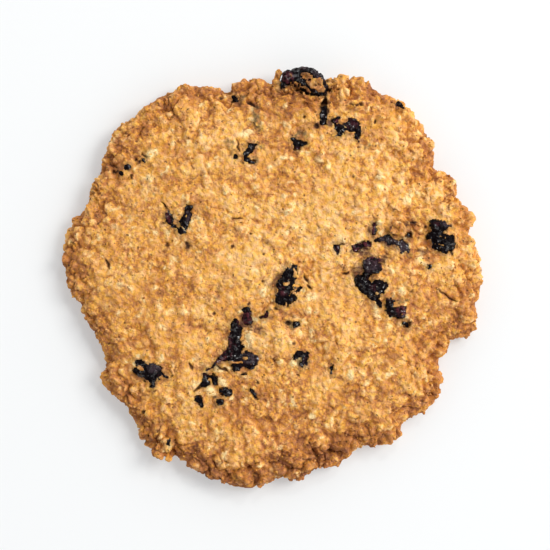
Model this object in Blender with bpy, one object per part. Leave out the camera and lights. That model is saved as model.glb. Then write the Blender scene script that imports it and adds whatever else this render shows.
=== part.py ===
"""A cranberry butter biscuit: one round, crumbly oat biscuit with dried cranberries baked into its top.

The biscuit lies flat on z = 0 with the middle of its outline over the origin. Lengths below are in
millimetres, angles in degrees, and bearings run counter-clockwise from +X. MM turns them into the
scene's metres where a mesh is made.
"""
import math
import random

import bmesh
import bpy
from mathutils import Matrix, Vector, geometry, noise

MM = 0.001
SEED = 20

# The dough's driving sizes.
DIAMETER = 90.0           # across the rim, lobe to lobe
CENTRE_HEIGHT = 8.3       # the crown's height over the base
SHOULDER_HEIGHT = 5.0     # where the crown turns over into the rim
CROWN_POWER = 3.2         # how late the crown falls away towards the rim
SHOULDER_INSET = 2.3      # from the rim's widest line in to the shoulder
RIPPLE = 0.42             # fine unevenness of the crown
RIPPLE_CELL = 4.4
CRUMBLE = 0.17            # the crown's crumb: how far each corner of the net is up or down
RIM_RIPPLE = 0.45         # crumbly unevenness of the rim
RIM_RIPPLE_CELL = 3.0

# The facets: the crown is a net of even triangles, the rim a band of rows.
CROWN_STEP = 2.7
CROWN_MARGIN = 0.6        # from the shoulder line to the net's nearest inner point, over the step
RIM_SECTORS = 128
CRUMB_FACETS = 0.67       # the share of facets kept once the crumbs are fused on

# Rim rows from the shoulder down to the base: (inset from the widest line, share of the shoulder height).
RIM_ROWS = [
    (SHOULDER_INSET, 1.00),
    (0.75, 0.84),
    (0.00, 0.50),
    (0.45, 0.16),
    (1.30, 0.00),
]

# The rim's widest line goes in and out as the dough spread: (bearing, radius) at each lobe and notch.
RIM = [
    (4, 44.9), (13, 43.1), (18, 44.6), (24, 43.3), (30, 44.4), (33, 41.6), (43, 44.9), (54, 47.0),
    (59, 45.8), (64, 46.4), (73, 44.8), (80, 42.0), (91, 41.3), (96, 42.8), (103, 41.3), (116, 45.3),
    (123, 46.0), (131, 45.4), (136, 46.6), (141, 45.8), (144, 44.4), (149, 43.5), (153, 44.0),
    (158, 42.6), (165, 44.9), (176, 45.1), (182, 44.4), (187, 41.7), (196, 40.6), (203, 39.3),
    (213, 43.0), (224, 42.4), (235, 45.5), (244, 43.8), (253, 45.2), (261, 45.6), (266, 44.6),
    (270, 42.9), (278, 43.7), (283, 41.7), (290, 42.1), (297, 40.6), (303, 43.0), (310, 43.5),
    (313, 41.5), (320, 43.7), (326, 43.3), (333, 39.6), (337, 40.6), (341, 39.9), (343, 43.5),
    (347, 45.0), (352, 44.3),
]

# Broad swells and hollows of the crown: (x, y, rise, length, width, bearing).
SWELLS = [
    (12.0, -11.5, 0.9, 11.0, 8.0, 80),
    (7.2, -13.0, -0.9, 12.0, 4.0, 112),
    (2.0, -15.0, 0.7, 13.0, 5.0, 105),
    (5.5, -31.5, -1.2, 19.0, 7.0, 158),
    (-7.5, -34.5, 0.9, 13.0, 8.0, 165),
    (-19.5, -24.5, 0.8, 10.0, 8.0, 30),
    (19.0, 18.0, 0.8, 17.0, 12.0, 30),
    (31.0, 8.0, -1.1, 8.0, 6.0, 0),
    (39.0, 0.5, 0.7, 14.0, 6.0, 90),
    (25.0, 1.0, 0.8, 8.0, 7.0, 60),
    (13.0, -3.0, -0.5, 9.0, 5.0, 60),
    (-4.0, 4.5, 0.6, 15.0, 9.0, 25),
    (-24.0, 5.0, -0.5, 16.0, 11.0, 100),
    (-34.0, -2.0, 0.5, 14.0, 7.0, 90),
    (-10.0, 29.0, 0.6, 16.0, 9.0, 10),
    (5.5, 30.5, -1.0, 4.5, 3.5, 60),
    (4.0, 36.0, 1.2, 11.0, 7.0, 165),
    (-5.0, 38.5, -0.6, 9.0, 5.0, 170),
    (26.0, 31.0, 0.7, 17.0, 7.0, 125),
    (17.0, 33.0, -0.7, 9.0, 5.0, 130),
    (28.0, -24.0, 0.6, 16.0, 9.0, 45),
    (-9.5, -13.5, -0.5, 14.0, 7.0, 80),
]

# Crags of dough that stand well clear of the crown: (x, y, length, width, bearing, rise).
CRAGS = [
    (26.8, 10.4, 5.2, 3.6, 85, 1.5),
    (30.4, 10.9, 2.2, 1.9, 0, 1.1),
    (3.9, 39.4, 4.2, 3.4, -10, 1.4),
    (6.9, 37.9, 4.8, 3.2, -32, 1.4),
    (9.3, 37.3, 2.8, 3.0, 0, 1.3),
    (1.0, 42.4, 4.6, 2.4, 88, 0.4),
    (14.0, 40.6, 3.6, 2.8, 170, 0.7),
    (-24.6, -36.6, 3.8, 2.8, 160, 0.7),
    (25.4, 4.6, 4.6, 3.0, 120, 0.8),
    (-4.3, -11.6, 4.0, 2.6, 60, 0.8),
    (20.5, -33.6, 3.6, 3.0, 40, 0.6),
    (39.2, -10.6, 3.8, 3.0, 110, 0.7),
    (-7.6, 39.6, 4.0, 3.0, 20, 0.7),
]

# Loose oats and crumbs baked on to the crown and the rim, spread evenly by seeded draws.
OAT_COUNT = 80
OAT_SPACING = 5.0
OAT_LENGTH = (2.0, 4.6)
OAT_ASPECT = (0.55, 0.95)  # width over length
OAT_RISE = (0.30, 0.60)
OAT_SIDES = 6
OAT_TOP = 0.62            # the oat's flat top over its full width
OAT_ROOT = 0.40           # how deep an oat is rooted, over its length
OAT_WAVER = (0.80, 1.15)  # the reach of an oat's corners, over its half length
OAT_WARP = (0.80, 1.20)   # the height of an oat's corners, over its rise
OAT_EDGE = 0.25           # the height of an oat's edge over its rise
OAT_TRIES = 40            # places tried for each oat
CRAG_ROOT = 1.6           # how deep a crag is rooted
LUMP_WAVER = (0.86, 1.12) # how far a crumb's corners lie, over its half size
LUMP_TIP = 12.0           # the most a crumb leans over
NODULE_COUNT = 62
NODULE_LENGTH = (2.2, 3.8)
NODULE_HEIGHT = (0.42, 0.86)  # over the shoulder's height
NODULE_DRIFT = 0.3        # how far a nodule strays along the rim, over their spacing
NODULE_DEPTH = 0.85       # a nodule's height over its length
NODULE_REACH = 0.25       # how far a nodule stands out past the rim's widest line

# The cranberries, flat torn pieces of fruit let into the crown. Each is how far its middle stands over
# the crown, how deep it reaches under it, and the corners of its outline seen from above.
CRANBERRIES = {
    "cranberry_rim": (1.9, 2.3, [
        (1.4, 39.8), (2.1, 39.7), (2.5, 40.8), (3.5, 41.2), (5.0, 40.6), (6.4, 39.7), (7.4, 38.8),
        (8.9, 38.5), (10.7, 38.6), (11.2, 39.0), (11.6, 40.2), (11.5, 41.5), (10.9, 42.5),
        (10.1, 43.2), (8.9, 43.9), (7.9, 44.5), (6.9, 44.8), (5.7, 44.7), (4.5, 44.4), (3.0, 44.0),
        (2.2, 43.4), (1.9, 42.4), (1.5, 41.2),
    ]),
    "cranberry_crack": (0.1, 1.2, [
        (9.8, 36.4), (10.5, 36.3), (11.3, 36.2), (11.3, 35.1), (11.2, 34.1), (11.0, 32.8),
        (10.6, 32.3), (10.1, 32.4), (9.7, 33.3), (9.7, 34.4), (10.1, 35.4),
    ]),
    "cranberry_ridge": (0.7, 1.2, [
        (13.8, 32.4), (15.0, 32.5), (15.5, 33.0), (15.9, 33.4), (16.8, 33.6), (17.6, 33.2),
        (18.1, 32.4), (18.5, 31.5), (18.5, 30.4), (18.4, 29.4), (18.2, 28.3), (17.6, 28.9),
        (16.9, 29.5), (17.1, 30.3), (15.4, 30.3), (14.3, 29.9), (13.1, 29.9), (13.7, 30.6),
        (12.9, 31.3), (13.0, 32.0),
    ]),
    "cranberry_ridge_spot": (0.35, 0.8, [
        (12.2, 33.2), (12.7, 33.5), (13.6, 34.0), (14.1, 33.9), (13.6, 33.3), (13.3, 32.8),
        (12.7, 32.7),
    ]),
    "cranberry_edge": (0.4, 0.8, [
        (25.9, 37.0), (26.5, 37.2), (27.3, 36.6), (27.7, 35.9), (27.1, 35.8), (26.4, 36.3),
    ]),
    "cranberry_hollow": (0.3, 0.9, [
        (3.6, 29.6), (4.8, 29.2), (5.9, 28.8), (7.1, 28.4), (6.9, 27.9), (5.9, 27.8), (5.5, 28.0),
        (5.6, 27.5), (5.2, 26.8), (4.5, 27.3), (4.2, 28.2), (4.6, 28.6), (4.0, 28.9), (3.5, 29.1),
    ]),
    "cranberry_crescent": (0.4, 0.9, [
        (-5.3, 28.0), (-4.8, 28.4), (-4.0, 28.3), (-3.4, 28.1), (-4.0, 27.7), (-4.3, 27.1),
        (-4.8, 26.5), (-5.3, 26.0), (-5.5, 25.4), (-5.2, 24.8), (-4.6, 24.5), (-3.9, 24.3),
        (-4.0, 23.9), (-4.9, 23.9), (-6.2, 24.7), (-6.3, 26.2), (-5.8, 26.6), (-5.6, 27.3),
    ]),
    "cranberry_crescent_dot": (0.3, 0.8, [
        (-8.6, 25.7), (-8.1, 26.1), (-7.5, 25.8), (-7.6, 25.2), (-8.1, 25.0), (-8.5, 25.3),
    ]),
    "cranberry_veiled": (0.2, 0.8, [
        (-4.6, 33.0), (-4.1, 33.5), (-4.1, 34.5), (-3.6, 34.8), (-3.4, 34.1), (-3.5, 33.2),
        (-3.2, 32.6), (-2.8, 32.0), (-3.3, 31.8), (-4.0, 32.4),
    ]),
    "cranberry_top_left": (0.25, 0.8, [
        (-8.7, 38.4), (-8.0, 38.5), (-7.6, 38.0), (-7.2, 37.3), (-7.7, 37.2), (-8.4, 37.6),
    ]),
    "cranberry_far_left": (0.35, 0.8, [
        (-31.8, 23.2), (-31.4, 23.6), (-30.8, 23.8), (-30.2, 23.4), (-30.4, 22.9), (-31.5, 22.7),
    ]),
    "cranberry_far_left_dot": (0.3, 0.8, [
        (-32.8, 22.6), (-32.3, 22.7), (-31.9, 22.1), (-32.1, 21.7), (-32.6, 22.0),
    ]),
    "cranberry_upper_left": (0.3, 0.8, [
        (-27.7, 25.1), (-27.3, 25.3), (-27.0, 24.8), (-26.9, 24.2), (-27.3, 24.1), (-27.6, 24.6),
    ]),
    "cranberry_vee": (0.6, 1.1, [
        (-22.4, 14.4), (-21.7, 13.9), (-21.2, 13.3), (-21.0, 12.6), (-21.0, 11.6), (-20.6, 11.1),
        (-20.0, 10.6), (-19.6, 10.6), (-19.5, 10.9), (-19.9, 11.4), (-20.2, 11.8), (-19.9, 12.2),
        (-19.3, 12.6), (-19.0, 13.1), (-18.7, 13.7), (-18.7, 14.6), (-18.2, 15.1), (-17.0, 15.0),
        (-17.4, 14.6), (-17.5, 14.0), (-17.1, 13.5), (-17.0, 12.9), (-17.4, 12.3), (-17.4, 11.6),
        (-17.8, 11.0), (-18.1, 10.3), (-18.4, 9.4), (-19.0, 9.2), (-19.5, 9.0), (-20.1, 9.4),
        (-20.2, 10.2), (-21.7, 10.3), (-21.8, 10.9), (-22.3, 11.4), (-22.8, 11.9), (-23.1, 12.5),
        (-23.1, 13.3), (-22.5, 13.7),
    ]),
    "cranberry_centre": (0.9, 1.5, [
        (2.9, 2.5), (3.2, 1.8), (3.8, 2.2), (4.3, 2.9), (5.1, 2.9), (5.2, 1.6), (5.2, 0.3),
        (4.7, -0.6), (4.4, -1.5), (5.1, -1.9), (5.8, -1.8), (6.1, -2.2), (5.3, -2.9), (4.5, -3.1),
        (4.1, -3.6), (4.8, -4.1), (4.6, -4.6), (4.1, -5.0), (3.9, -5.6), (2.5, -6.2), (1.7, -6.1),
        (0.9, -5.7), (0.5, -5.0), (0.4, -3.8), (0.6, -2.0), (0.2, -1.4), (0.8, -0.5), (1.3, 0.4),
        (2.1, 1.0), (2.7, 1.4),
    ]),
    "cranberry_dash": (0.3, 0.8, [
        (12.4, 6.4), (12.8, 6.9), (13.5, 6.9), (13.9, 6.5), (13.6, 5.7), (13.8, 4.8), (13.3, 4.8),
        (12.9, 5.7),
    ]),
    "cranberry_band_left": (0.4, 0.9, [
        (16.4, 6.7), (17.5, 6.9), (18.5, 7.1), (19.4, 7.7), (20.1, 7.7), (20.6, 7.2), (20.4, 6.4),
        (19.6, 6.5), (18.5, 6.2), (17.9, 5.7), (17.1, 5.3), (16.6, 5.9),
    ]),
    "cranberry_band": (0.55, 1.0, [
        (21.1, 7.9), (21.9, 8.4), (22.9, 8.5), (23.8, 9.1), (24.5, 9.0), (25.1, 8.3), (26.3, 7.8),
        (27.3, 8.2), (28.0, 7.7), (28.4, 6.7), (28.8, 5.1), (28.4, 5.0), (27.9, 5.5), (27.0, 4.9),
        (26.4, 5.2), (26.0, 6.4), (25.0, 6.9), (24.0, 6.8), (23.3, 7.6), (22.2, 7.5), (21.3, 7.4),
    ]),
    "cranberry_knob": (0.1, 0.9, [
        (27.7, 8.9), (28.1, 9.6), (28.6, 9.7), (29.0, 9.2), (29.2, 8.8), (28.8, 8.4), (28.2, 8.5),
    ]),
    "cranberry_flake": (0.35, 0.8, [
        (20.8, 9.0), (20.6, 9.6), (20.7, 10.6), (21.0, 11.6), (21.5, 11.8), (21.8, 10.9), (21.8, 9.8),
        (21.5, 9.0),
    ]),
    "cranberry_right": (0.9, 1.5, [
        (32.9, 11.9), (33.7, 12.3), (34.4, 12.3), (35.1, 12.4), (35.8, 12.3), (36.4, 11.8),
        (37.0, 11.3), (37.9, 10.8), (37.1, 10.7), (36.8, 10.5), (36.3, 10.1), (36.0, 9.6), (37.0, 9.2),
        (37.9, 9.1), (38.2, 8.7), (38.2, 7.9), (38.4, 7.1), (38.3, 6.2), (37.6, 5.6), (37.0, 5.8),
        (36.8, 5.2), (36.4, 4.9), (35.6, 5.3), (35.1, 5.8), (34.4, 5.9), (33.7, 6.1), (33.3, 6.7),
        (33.4, 7.4), (33.8, 7.8), (33.0, 7.7), (32.5, 7.9), (32.4, 8.5), (32.7, 9.1), (33.1, 9.6),
        (33.2, 10.2), (33.0, 10.8), (32.9, 11.4),
    ]),
    "cranberry_right_dot": (0.2, 0.8, [
        (32.4, 2.5), (32.9, 3.0), (33.4, 2.6), (33.3, 1.8), (32.6, 1.7),
    ]),
    "cranberry_big": (1.0, 1.6, [
        (18.9, 3.7), (20.0, 4.0), (20.8, 4.5), (21.7, 4.5), (22.9, 3.9), (22.5, 3.5), (21.7, 3.1),
        (22.7, 2.4), (22.7, 1.6), (22.0, 1.2), (20.9, 0.9), (20.3, 0.6), (20.0, -0.3), (20.6, -1.1),
        (21.6, -0.7), (22.7, -0.8), (23.6, -0.9), (24.0, -1.5), (23.9, -2.4), (23.1, -3.6),
        (22.3, -4.5), (22.8, -5.0), (22.9, -6.3), (22.5, -6.5), (21.4, -5.3), (20.7, -4.6),
        (19.0, -3.4), (18.0, -2.6), (17.3, -1.6), (16.7, -0.2), (17.2, 0.5), (17.9, 0.6), (18.7, 0.3),
        (18.9, 0.9), (19.0, 1.6), (18.8, 2.6),
    ]),
    "cranberry_second": (0.8, 1.4, [
        (23.4, -4.7), (23.8, -4.2), (24.5, -4.2), (25.7, -4.8), (25.5, -5.3), (25.0, -5.8),
        (25.6, -6.2), (26.4, -6.2), (26.9, -5.8), (27.9, -6.3), (27.9, -7.3), (27.4, -8.7),
        (26.5, -8.8), (25.4, -8.3), (24.5, -8.4), (23.9, -7.7), (23.7, -6.9), (23.8, -6.1),
        (23.5, -5.3),
    ]),
    "cranberry_second_dot": (0.3, 0.8, [
        (26.9, -9.8), (27.6, -9.3), (28.3, -9.5), (28.8, -10.5), (28.2, -10.7), (27.6, -10.2),
    ]),
    "cranberry_upper": (0.45, 0.9, [
        (-7.0, -6.5), (-6.1, -6.2), (-4.9, -6.3), (-4.6, -7.5), (-4.9, -8.0), (-4.3, -8.6),
        (-4.2, -9.2), (-4.6, -9.8), (-5.5, -10.0), (-6.3, -9.6), (-6.6, -8.9), (-6.5, -8.1),
        (-6.3, -7.5), (-6.9, -7.0),
    ]),
    "cranberry_purple_dot": (0.35, 0.8, [
        (-3.2, -8.4), (-2.7, -7.9), (-2.0, -7.9), (-1.5, -7.0), (-1.0, -7.1), (-0.9, -8.2),
        (-1.5, -8.7), (-2.1, -8.6), (-2.7, -8.7),
    ]),
    "cranberry_branch": (0.7, 1.2, [
        (-8.3, -8.5), (-7.7, -8.6), (-7.2, -9.2), (-7.1, -9.9), (-6.2, -10.6), (-6.7, -11.5),
        (-6.7, -12.4), (-7.0, -13.0), (-6.8, -14.2), (-6.1, -14.4), (-6.1, -14.8), (-6.8, -15.1),
        (-6.7, -16.1), (-6.2, -15.9), (-5.9, -15.4), (-5.2, -15.3), (-3.8, -15.8), (-3.3, -16.5),
        (-3.1, -17.3), (-3.4, -18.2), (-4.1, -19.1), (-4.8, -19.4), (-5.6, -19.1), (-6.3, -18.8),
        (-6.9, -19.2), (-7.4, -19.7), (-8.2, -20.0), (-8.9, -19.6), (-9.0, -18.7), (-8.9, -17.9),
        (-9.7, -17.5), (-10.8, -17.5), (-11.5, -17.8), (-12.0, -18.4), (-12.5, -19.0), (-14.1, -19.8),
        (-14.4, -19.5), (-13.2, -18.8), (-12.4, -18.0), (-11.9, -17.3), (-11.2, -16.7), (-10.5, -15.7),
        (-9.6, -14.8), (-9.5, -13.8), (-9.6, -13.0), (-9.2, -11.2), (-8.9, -9.9), (-8.7, -9.1),
    ]),
    "cranberry_branch_low": (0.2, 0.8, [
        (-7.0, -20.3), (-6.2, -20.0), (-5.5, -20.2), (-5.8, -20.7), (-6.6, -20.7),
    ]),
    "cranberry_ring_top": (0.4, 0.9, [
        (-14.8, -20.2), (-14.4, -20.3), (-14.2, -20.6), (-12.9, -20.6), (-12.1, -20.8), (-11.8, -21.4),
        (-12.0, -22.4), (-12.3, -22.6), (-12.7, -22.3), (-12.8, -21.4), (-13.2, -21.1), (-13.9, -21.1),
        (-13.9, -21.7), (-13.4, -21.9), (-13.4, -22.3), (-14.1, -22.6), (-15.1, -23.0), (-15.3, -22.6),
        (-14.8, -22.0), (-14.6, -21.0),
    ]),
    "cranberry_ring_right": (0.4, 0.9, [
        (-11.4, -23.4), (-10.8, -23.7), (-10.5, -23.3), (-9.9, -23.2), (-9.5, -23.6), (-9.0, -23.3),
        (-8.8, -24.0), (-8.8, -24.8), (-9.4, -25.0), (-10.4, -24.9), (-10.8, -24.4), (-11.4, -24.2),
    ]),
    "cranberry_ring_left": (0.3, 0.9, [
        (-16.4, -25.0), (-15.8, -24.9), (-15.4, -25.5), (-15.0, -26.2), (-14.8, -27.3), (-15.2, -27.3),
        (-15.6, -26.4), (-16.1, -26.2), (-16.6, -25.8),
    ]),
    "cranberry_ring_low": (0.3, 0.8, [
        (-12.1, -26.1), (-11.6, -25.7), (-10.9, -25.7), (-10.6, -26.3), (-10.9, -26.8), (-11.9, -26.8),
    ]),
    "cranberry_left": (0.8, 1.4, [
        (-29.5, -17.6), (-28.2, -17.4), (-27.2, -17.7), (-26.6, -18.2), (-25.4, -18.2), (-24.4, -18.6),
        (-23.9, -19.2), (-23.6, -19.9), (-22.9, -20.3), (-22.2, -20.9), (-22.5, -21.3), (-23.5, -20.6),
        (-23.9, -20.8), (-24.0, -21.5), (-25.0, -22.1), (-25.0, -23.0), (-25.6, -23.4), (-26.1, -23.1),
        (-26.0, -22.4), (-27.0, -21.4), (-28.5, -20.6), (-29.5, -19.7), (-29.3, -19.0), (-28.7, -18.6),
        (-29.2, -18.1),
    ]),
    "cranberry_bar": (0.45, 0.9, [
        (4.1, -16.6), (4.6, -16.0), (5.1, -15.6), (5.8, -15.6), (6.3, -16.1), (7.1, -15.7),
        (7.5, -15.9), (7.4, -16.8), (7.2, -18.5), (6.6, -18.8), (5.9, -19.2), (5.4, -18.6),
        (5.5, -18.0), (6.0, -17.4), (5.8, -16.9), (5.1, -16.9), (4.7, -17.4), (4.2, -17.2),
    ]),
    "cranberry_fleck": (0.2, 0.8, [
        (4.1, -9.7), (4.6, -9.4), (5.5, -9.6), (5.5, -10.0), (4.9, -10.4), (4.3, -10.7), (4.3, -10.2),
    ]),
    "cranberry_low_right": (0.3, 0.8, [
        (11.7, -18.6), (12.1, -18.4), (12.6, -18.8), (12.7, -19.3), (12.4, -19.7), (12.3, -20.4),
        (11.9, -20.4), (11.9, -19.6), (11.7, -19.2),
    ]),
    "cranberry_thread": (0.3, 0.8, [
        (-5.1, -23.2), (-4.2, -23.8), (-3.6, -24.6), (-3.4, -25.4), (-3.9, -25.6), (-4.1, -24.8),
        (-4.7, -24.1),
    ]),
    "cranberry_low_left": (0.3, 0.8, [
        (-22.8, -35.5), (-22.6, -34.5), (-22.0, -34.1), (-21.7, -34.7), (-22.1, -35.7),
    ]),
}
BERRY_STEP = 0.9          # between the points inside a berry's outline
BERRY_MARGIN = 0.4        # from the outline to the nearest of them
BERRY_ROUNDING = 1.3      # from the outline in to a berry's full thickness
BERRY_SIDE = 0.35         # a berry's upright side, over its stand and its depth
BERRY_WRINKLE = 0.5       # how unevenly the dried skin stands, over its full stand
BERRY_WRINKLE_CELL = 1.8
BERRY_ROOM = 0.5          # the least dough between a berry and a loose crumb
POCKET_GAP = 0.30         # the air between a berry and the dough round it
POCKET_HEADROOM = 3.0     # how far over the crown a pocket clears the crumbs away
MITRE = 1.8               # the farthest a grown outline's corner moves, over the growth

# The open fissure beside the rim berry: (x, y, length, width, bearing, depth).
FISSURE = (10.9, 37.9, 4.6, 1.3, 74, 1.9)
FISSURE_MOUTH = 0.4       # how far over the crown it is widest

CREASE_ANGLE = 50.0       # an edge of the dough sharper than this is drawn sharp

# name: (base colour, roughness)
FINISHES = {
    "dough": ((0.62, 0.30, 0.09), 0.85),
    "cranberry": ((0.030, 0.008, 0.012), 0.35),
}


def clear_scene():
    """Empty the scene of whatever the file opened with."""
    for existing in list(bpy.data.objects):
        bpy.data.objects.remove(existing, do_unlink=True)


def finish_material(name):
    """The plain material of one kind of sub-part."""
    colour, roughness = FINISHES[name]
    material = bpy.data.materials.new(name)
    material.use_nodes = True
    shader = material.node_tree.nodes["Principled BSDF"]
    shader.inputs["Base Color"].default_value = (*colour, 1.0)
    shader.inputs["Roughness"].default_value = roughness
    shader.inputs["Metallic"].default_value = 0.0
    return material


def mesh_object(name, bm, material):
    """A scene object from a bmesh made in millimetres."""
    bmesh.ops.scale(bm, vec=(MM, MM, MM), verts=bm.verts)
    mesh = bpy.data.meshes.new(name)
    bm.to_mesh(mesh)
    bm.free()
    mesh.materials.append(material)
    made = bpy.data.objects.new(name, mesh)
    bpy.context.scene.collection.objects.link(made)
    return made


def smooth_step(share):
    """0 to 1 with level ends."""
    return share * share * (3.0 - 2.0 * share)


def ripple(x, y, cell, layer):
    """Even seeded noise between about -1 and 1, one pattern for each layer."""
    return noise.noise(Vector((x / cell, y / cell, SEED + 7.3 * layer)))


def rim_radius(bearing):
    """The widest line's distance from the middle: level at every lobe and notch, smooth between."""
    turn = bearing % 360.0
    knots = RIM + [(RIM[0][0] + 360.0, RIM[0][1])]
    if turn < knots[0][0]:
        turn += 360.0
    for (start, near), (end, far) in zip(knots, knots[1:]):
        if start <= turn <= end:
            return near + (far - near) * smooth_step((turn - start) / (end - start))
    return knots[0][1]


def oval_distance(x, y, centre_x, centre_y, length, width, bearing):
    """How many half-sizes of an oval a point is from its middle: 1 on the oval itself."""
    turn = math.radians(bearing)
    along = (x - centre_x) * math.cos(turn) + (y - centre_y) * math.sin(turn)
    across = (y - centre_y) * math.cos(turn) - (x - centre_x) * math.sin(turn)
    return math.hypot(along / (length / 2.0), across / (width / 2.0))


def crown_height(x, y):
    """The dough's height over the base: crown, swells and fine unevenness."""
    reach = min(1.0, math.hypot(x, y) / rim_radius(math.degrees(math.atan2(y, x))))
    height = SHOULDER_HEIGHT + (CENTRE_HEIGHT - SHOULDER_HEIGHT) * (1.0 - reach ** CROWN_POWER)
    for swell_x, swell_y, rise, length, width, bearing in SWELLS:
        height += rise * math.exp(-oval_distance(x, y, swell_x, swell_y, length, width, bearing) ** 2)
    return height + RIPPLE * ripple(x, y, RIPPLE_CELL, 0)


def rim_point(sector, row):
    """One corner of the rim band."""
    inset, share = RIM_ROWS[row]
    bearing = 360.0 * sector / RIM_SECTORS
    radius = rim_radius(bearing) - inset
    turn = math.radians(bearing)
    x, y = radius * math.cos(turn), radius * math.sin(turn)
    if 0 < row < len(RIM_ROWS) - 1:
        bulge = RIM_RIPPLE * ripple(x, y, RIM_RIPPLE_CELL, row)
        x += bulge * math.cos(turn)
        y += bulge * math.sin(turn)
    return Vector((x, y, share * crown_height(x, y)))


def crown_net(outline):
    """Even points inside the shoulder line, and the triangles that join them to it."""
    points = [point.to_2d() for point in outline]
    edges = [(i, (i + 1) % len(points)) for i in range(len(points))]
    row_step = CROWN_STEP * math.sqrt(3.0) / 2.0
    rows = math.ceil(DIAMETER / 2.0 / row_step)
    for row in range(-rows, rows + 1):
        for column in range(-rows, rows + 1):
            x = (column + 0.5 * (row % 2)) * CROWN_STEP
            y = row * row_step
            limit = rim_radius(math.degrees(math.atan2(y, x))) - SHOULDER_INSET - CROWN_MARGIN * CROWN_STEP
            if math.hypot(x, y) < limit:
                points.append(Vector((x, y)))
    return geometry.delaunay_2d_cdt(points, edges, [], 1, 1e-5)


def dough_core():
    """The bare biscuit as a bmesh: crown net, rim band and flat base, closed."""
    bm = bmesh.new()
    rows = [[rim_point(sector, row) for sector in range(RIM_SECTORS)] for row in range(len(RIM_ROWS))]
    rings = [[bm.verts.new(point) for point in row] for row in rows]
    for upper, lower in zip(rings, rings[1:]):
        for sector in range(RIM_SECTORS):
            following = (sector + 1) % RIM_SECTORS
            bm.faces.new((upper[sector], lower[sector], lower[following], upper[following]))
    points, _, faces, _, _, _ = crown_net(rows[0])
    crown = list(rings[0])
    draw = random.Random(SEED)
    for point in points[RIM_SECTORS:]:
        height = crown_height(point.x, point.y) + draw.uniform(-CRUMBLE, CRUMBLE)
        crown.append(bm.verts.new((point.x, point.y, height)))
    for face in faces:
        bm.faces.new([crown[index] for index in face])
    bm.faces.new(list(reversed(rings[-1])))
    bmesh.ops.triangulate(bm, faces=bm.faces)
    bmesh.ops.recalc_face_normals(bm, faces=bm.faces)
    return bm


def lump(draw, centre, size, bearing, subdivisions, material):
    """One rough-sided crumb: an uneven oval ball of (length, width, depth), turned and tipped a little."""
    bm = bmesh.new()
    bmesh.ops.create_icosphere(bm, subdivisions=subdivisions, radius=1.0)
    for vert in bm.verts:
        vert.co *= draw.uniform(*LUMP_WAVER)
    tip = Matrix.Rotation(math.radians(draw.uniform(-LUMP_TIP, LUMP_TIP)), 4, "X")
    turn = Matrix.Rotation(math.radians(bearing), 4, "Z")
    scale = Matrix.Diagonal((size[0] / 2.0, size[1] / 2.0, size[2] / 2.0, 1.0))
    bmesh.ops.transform(bm, verts=bm.verts, matrix=Matrix.Translation(centre) @ turn @ tip @ scale)
    return mesh_object("lump", bm, material)


def oat(draw, centre, length, material):
    """One rolled oat: a flat-topped flake with an uneven outline, rooted in the dough by a point."""
    bm = bmesh.new()
    rise = draw.uniform(*OAT_RISE)
    aspect = draw.uniform(*OAT_ASPECT)
    turn = Matrix.Rotation(draw.uniform(0.0, math.pi), 4, "Z")
    rings = []
    for share, height in ((OAT_TOP, rise), (1.0, OAT_EDGE * rise)):
        ring = []
        for side in range(OAT_SIDES):
            around = math.tau * side / OAT_SIDES
            reach = share * draw.uniform(*OAT_WAVER) * length / 2.0
            corner = (
                reach * math.cos(around),
                aspect * reach * math.sin(around),
                height * draw.uniform(*OAT_WARP),
            )
            ring.append(bm.verts.new(corner))
        rings.append(ring)
    root = bm.verts.new((0.0, 0.0, -OAT_ROOT * length))
    for side in range(OAT_SIDES):
        following = (side + 1) % OAT_SIDES
        bm.faces.new((rings[0][side], rings[1][side], rings[1][following], rings[0][following]))
        bm.faces.new((rings[1][side], root, rings[1][following]))
    bm.faces.new(rings[0])
    bmesh.ops.triangulate(bm, faces=bm.faces)
    bmesh.ops.recalc_face_normals(bm, faces=bm.faces)
    bmesh.ops.transform(bm, verts=bm.verts, matrix=Matrix.Translation(centre) @ turn)
    return mesh_object("oat", bm, material)


def clearance(x, y, outline):
    """How far inside an outline a point is; less than 0 outside it."""
    spot = Vector((x, y))
    nearest = math.inf
    inside = False
    for start, end in zip(outline, outline[1:] + outline[:1]):
        side = end - start
        share = max(0.0, min(1.0, (spot - start).dot(side) / side.length_squared))
        nearest = min(nearest, (start + share * side - spot).length)
        if (start.y > y) != (end.y > y) and x < start.x + (y - start.y) / side.y * side.x:
            inside = not inside
    return nearest if inside else -nearest


def near_berry(x, y, room):
    """Whether a place is on a cranberry or within room of one."""
    for _, _, corners in CRANBERRIES.values():
        if clearance(x, y, [Vector(corner) for corner in corners]) > -room:
            return True
    return False


def crags(draw, material):
    """The crags that stand well clear of the crown."""
    made = []
    for x, y, length, width, bearing, rise in CRAGS:
        depth = 2.0 * rise + CRAG_ROOT
        centre = Vector((x, y, crown_height(x, y) + rise - depth / 2.0))
        made.append(lump(draw, centre, (length, width, depth), bearing, 2, material))
    return made


def oats(draw, material):
    """Oats spread evenly over the crown, none on a cranberry, a crag or the fissure."""
    made = []
    placed = [Vector((x, y)) for x, y, *_ in CRAGS] + [Vector(FISSURE[:2])]
    for _ in range(OAT_TRIES * OAT_COUNT):
        bearing = draw.uniform(0.0, 360.0)
        length = draw.uniform(*OAT_LENGTH)
        radius = (rim_radius(bearing) - SHOULDER_INSET - length / 2.0) * math.sqrt(draw.random())
        turn = math.radians(bearing)
        spot = Vector((radius * math.cos(turn), radius * math.sin(turn)))
        clear = all((spot - other).length > OAT_SPACING for other in placed)
        if clear and not near_berry(spot.x, spot.y, length / 2.0 + BERRY_ROOM):
            centre = Vector((spot.x, spot.y, crown_height(spot.x, spot.y)))
            made.append(oat(draw, centre, length, material))
            placed.append(spot)
        if len(made) == OAT_COUNT:
            break
    return made


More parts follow.
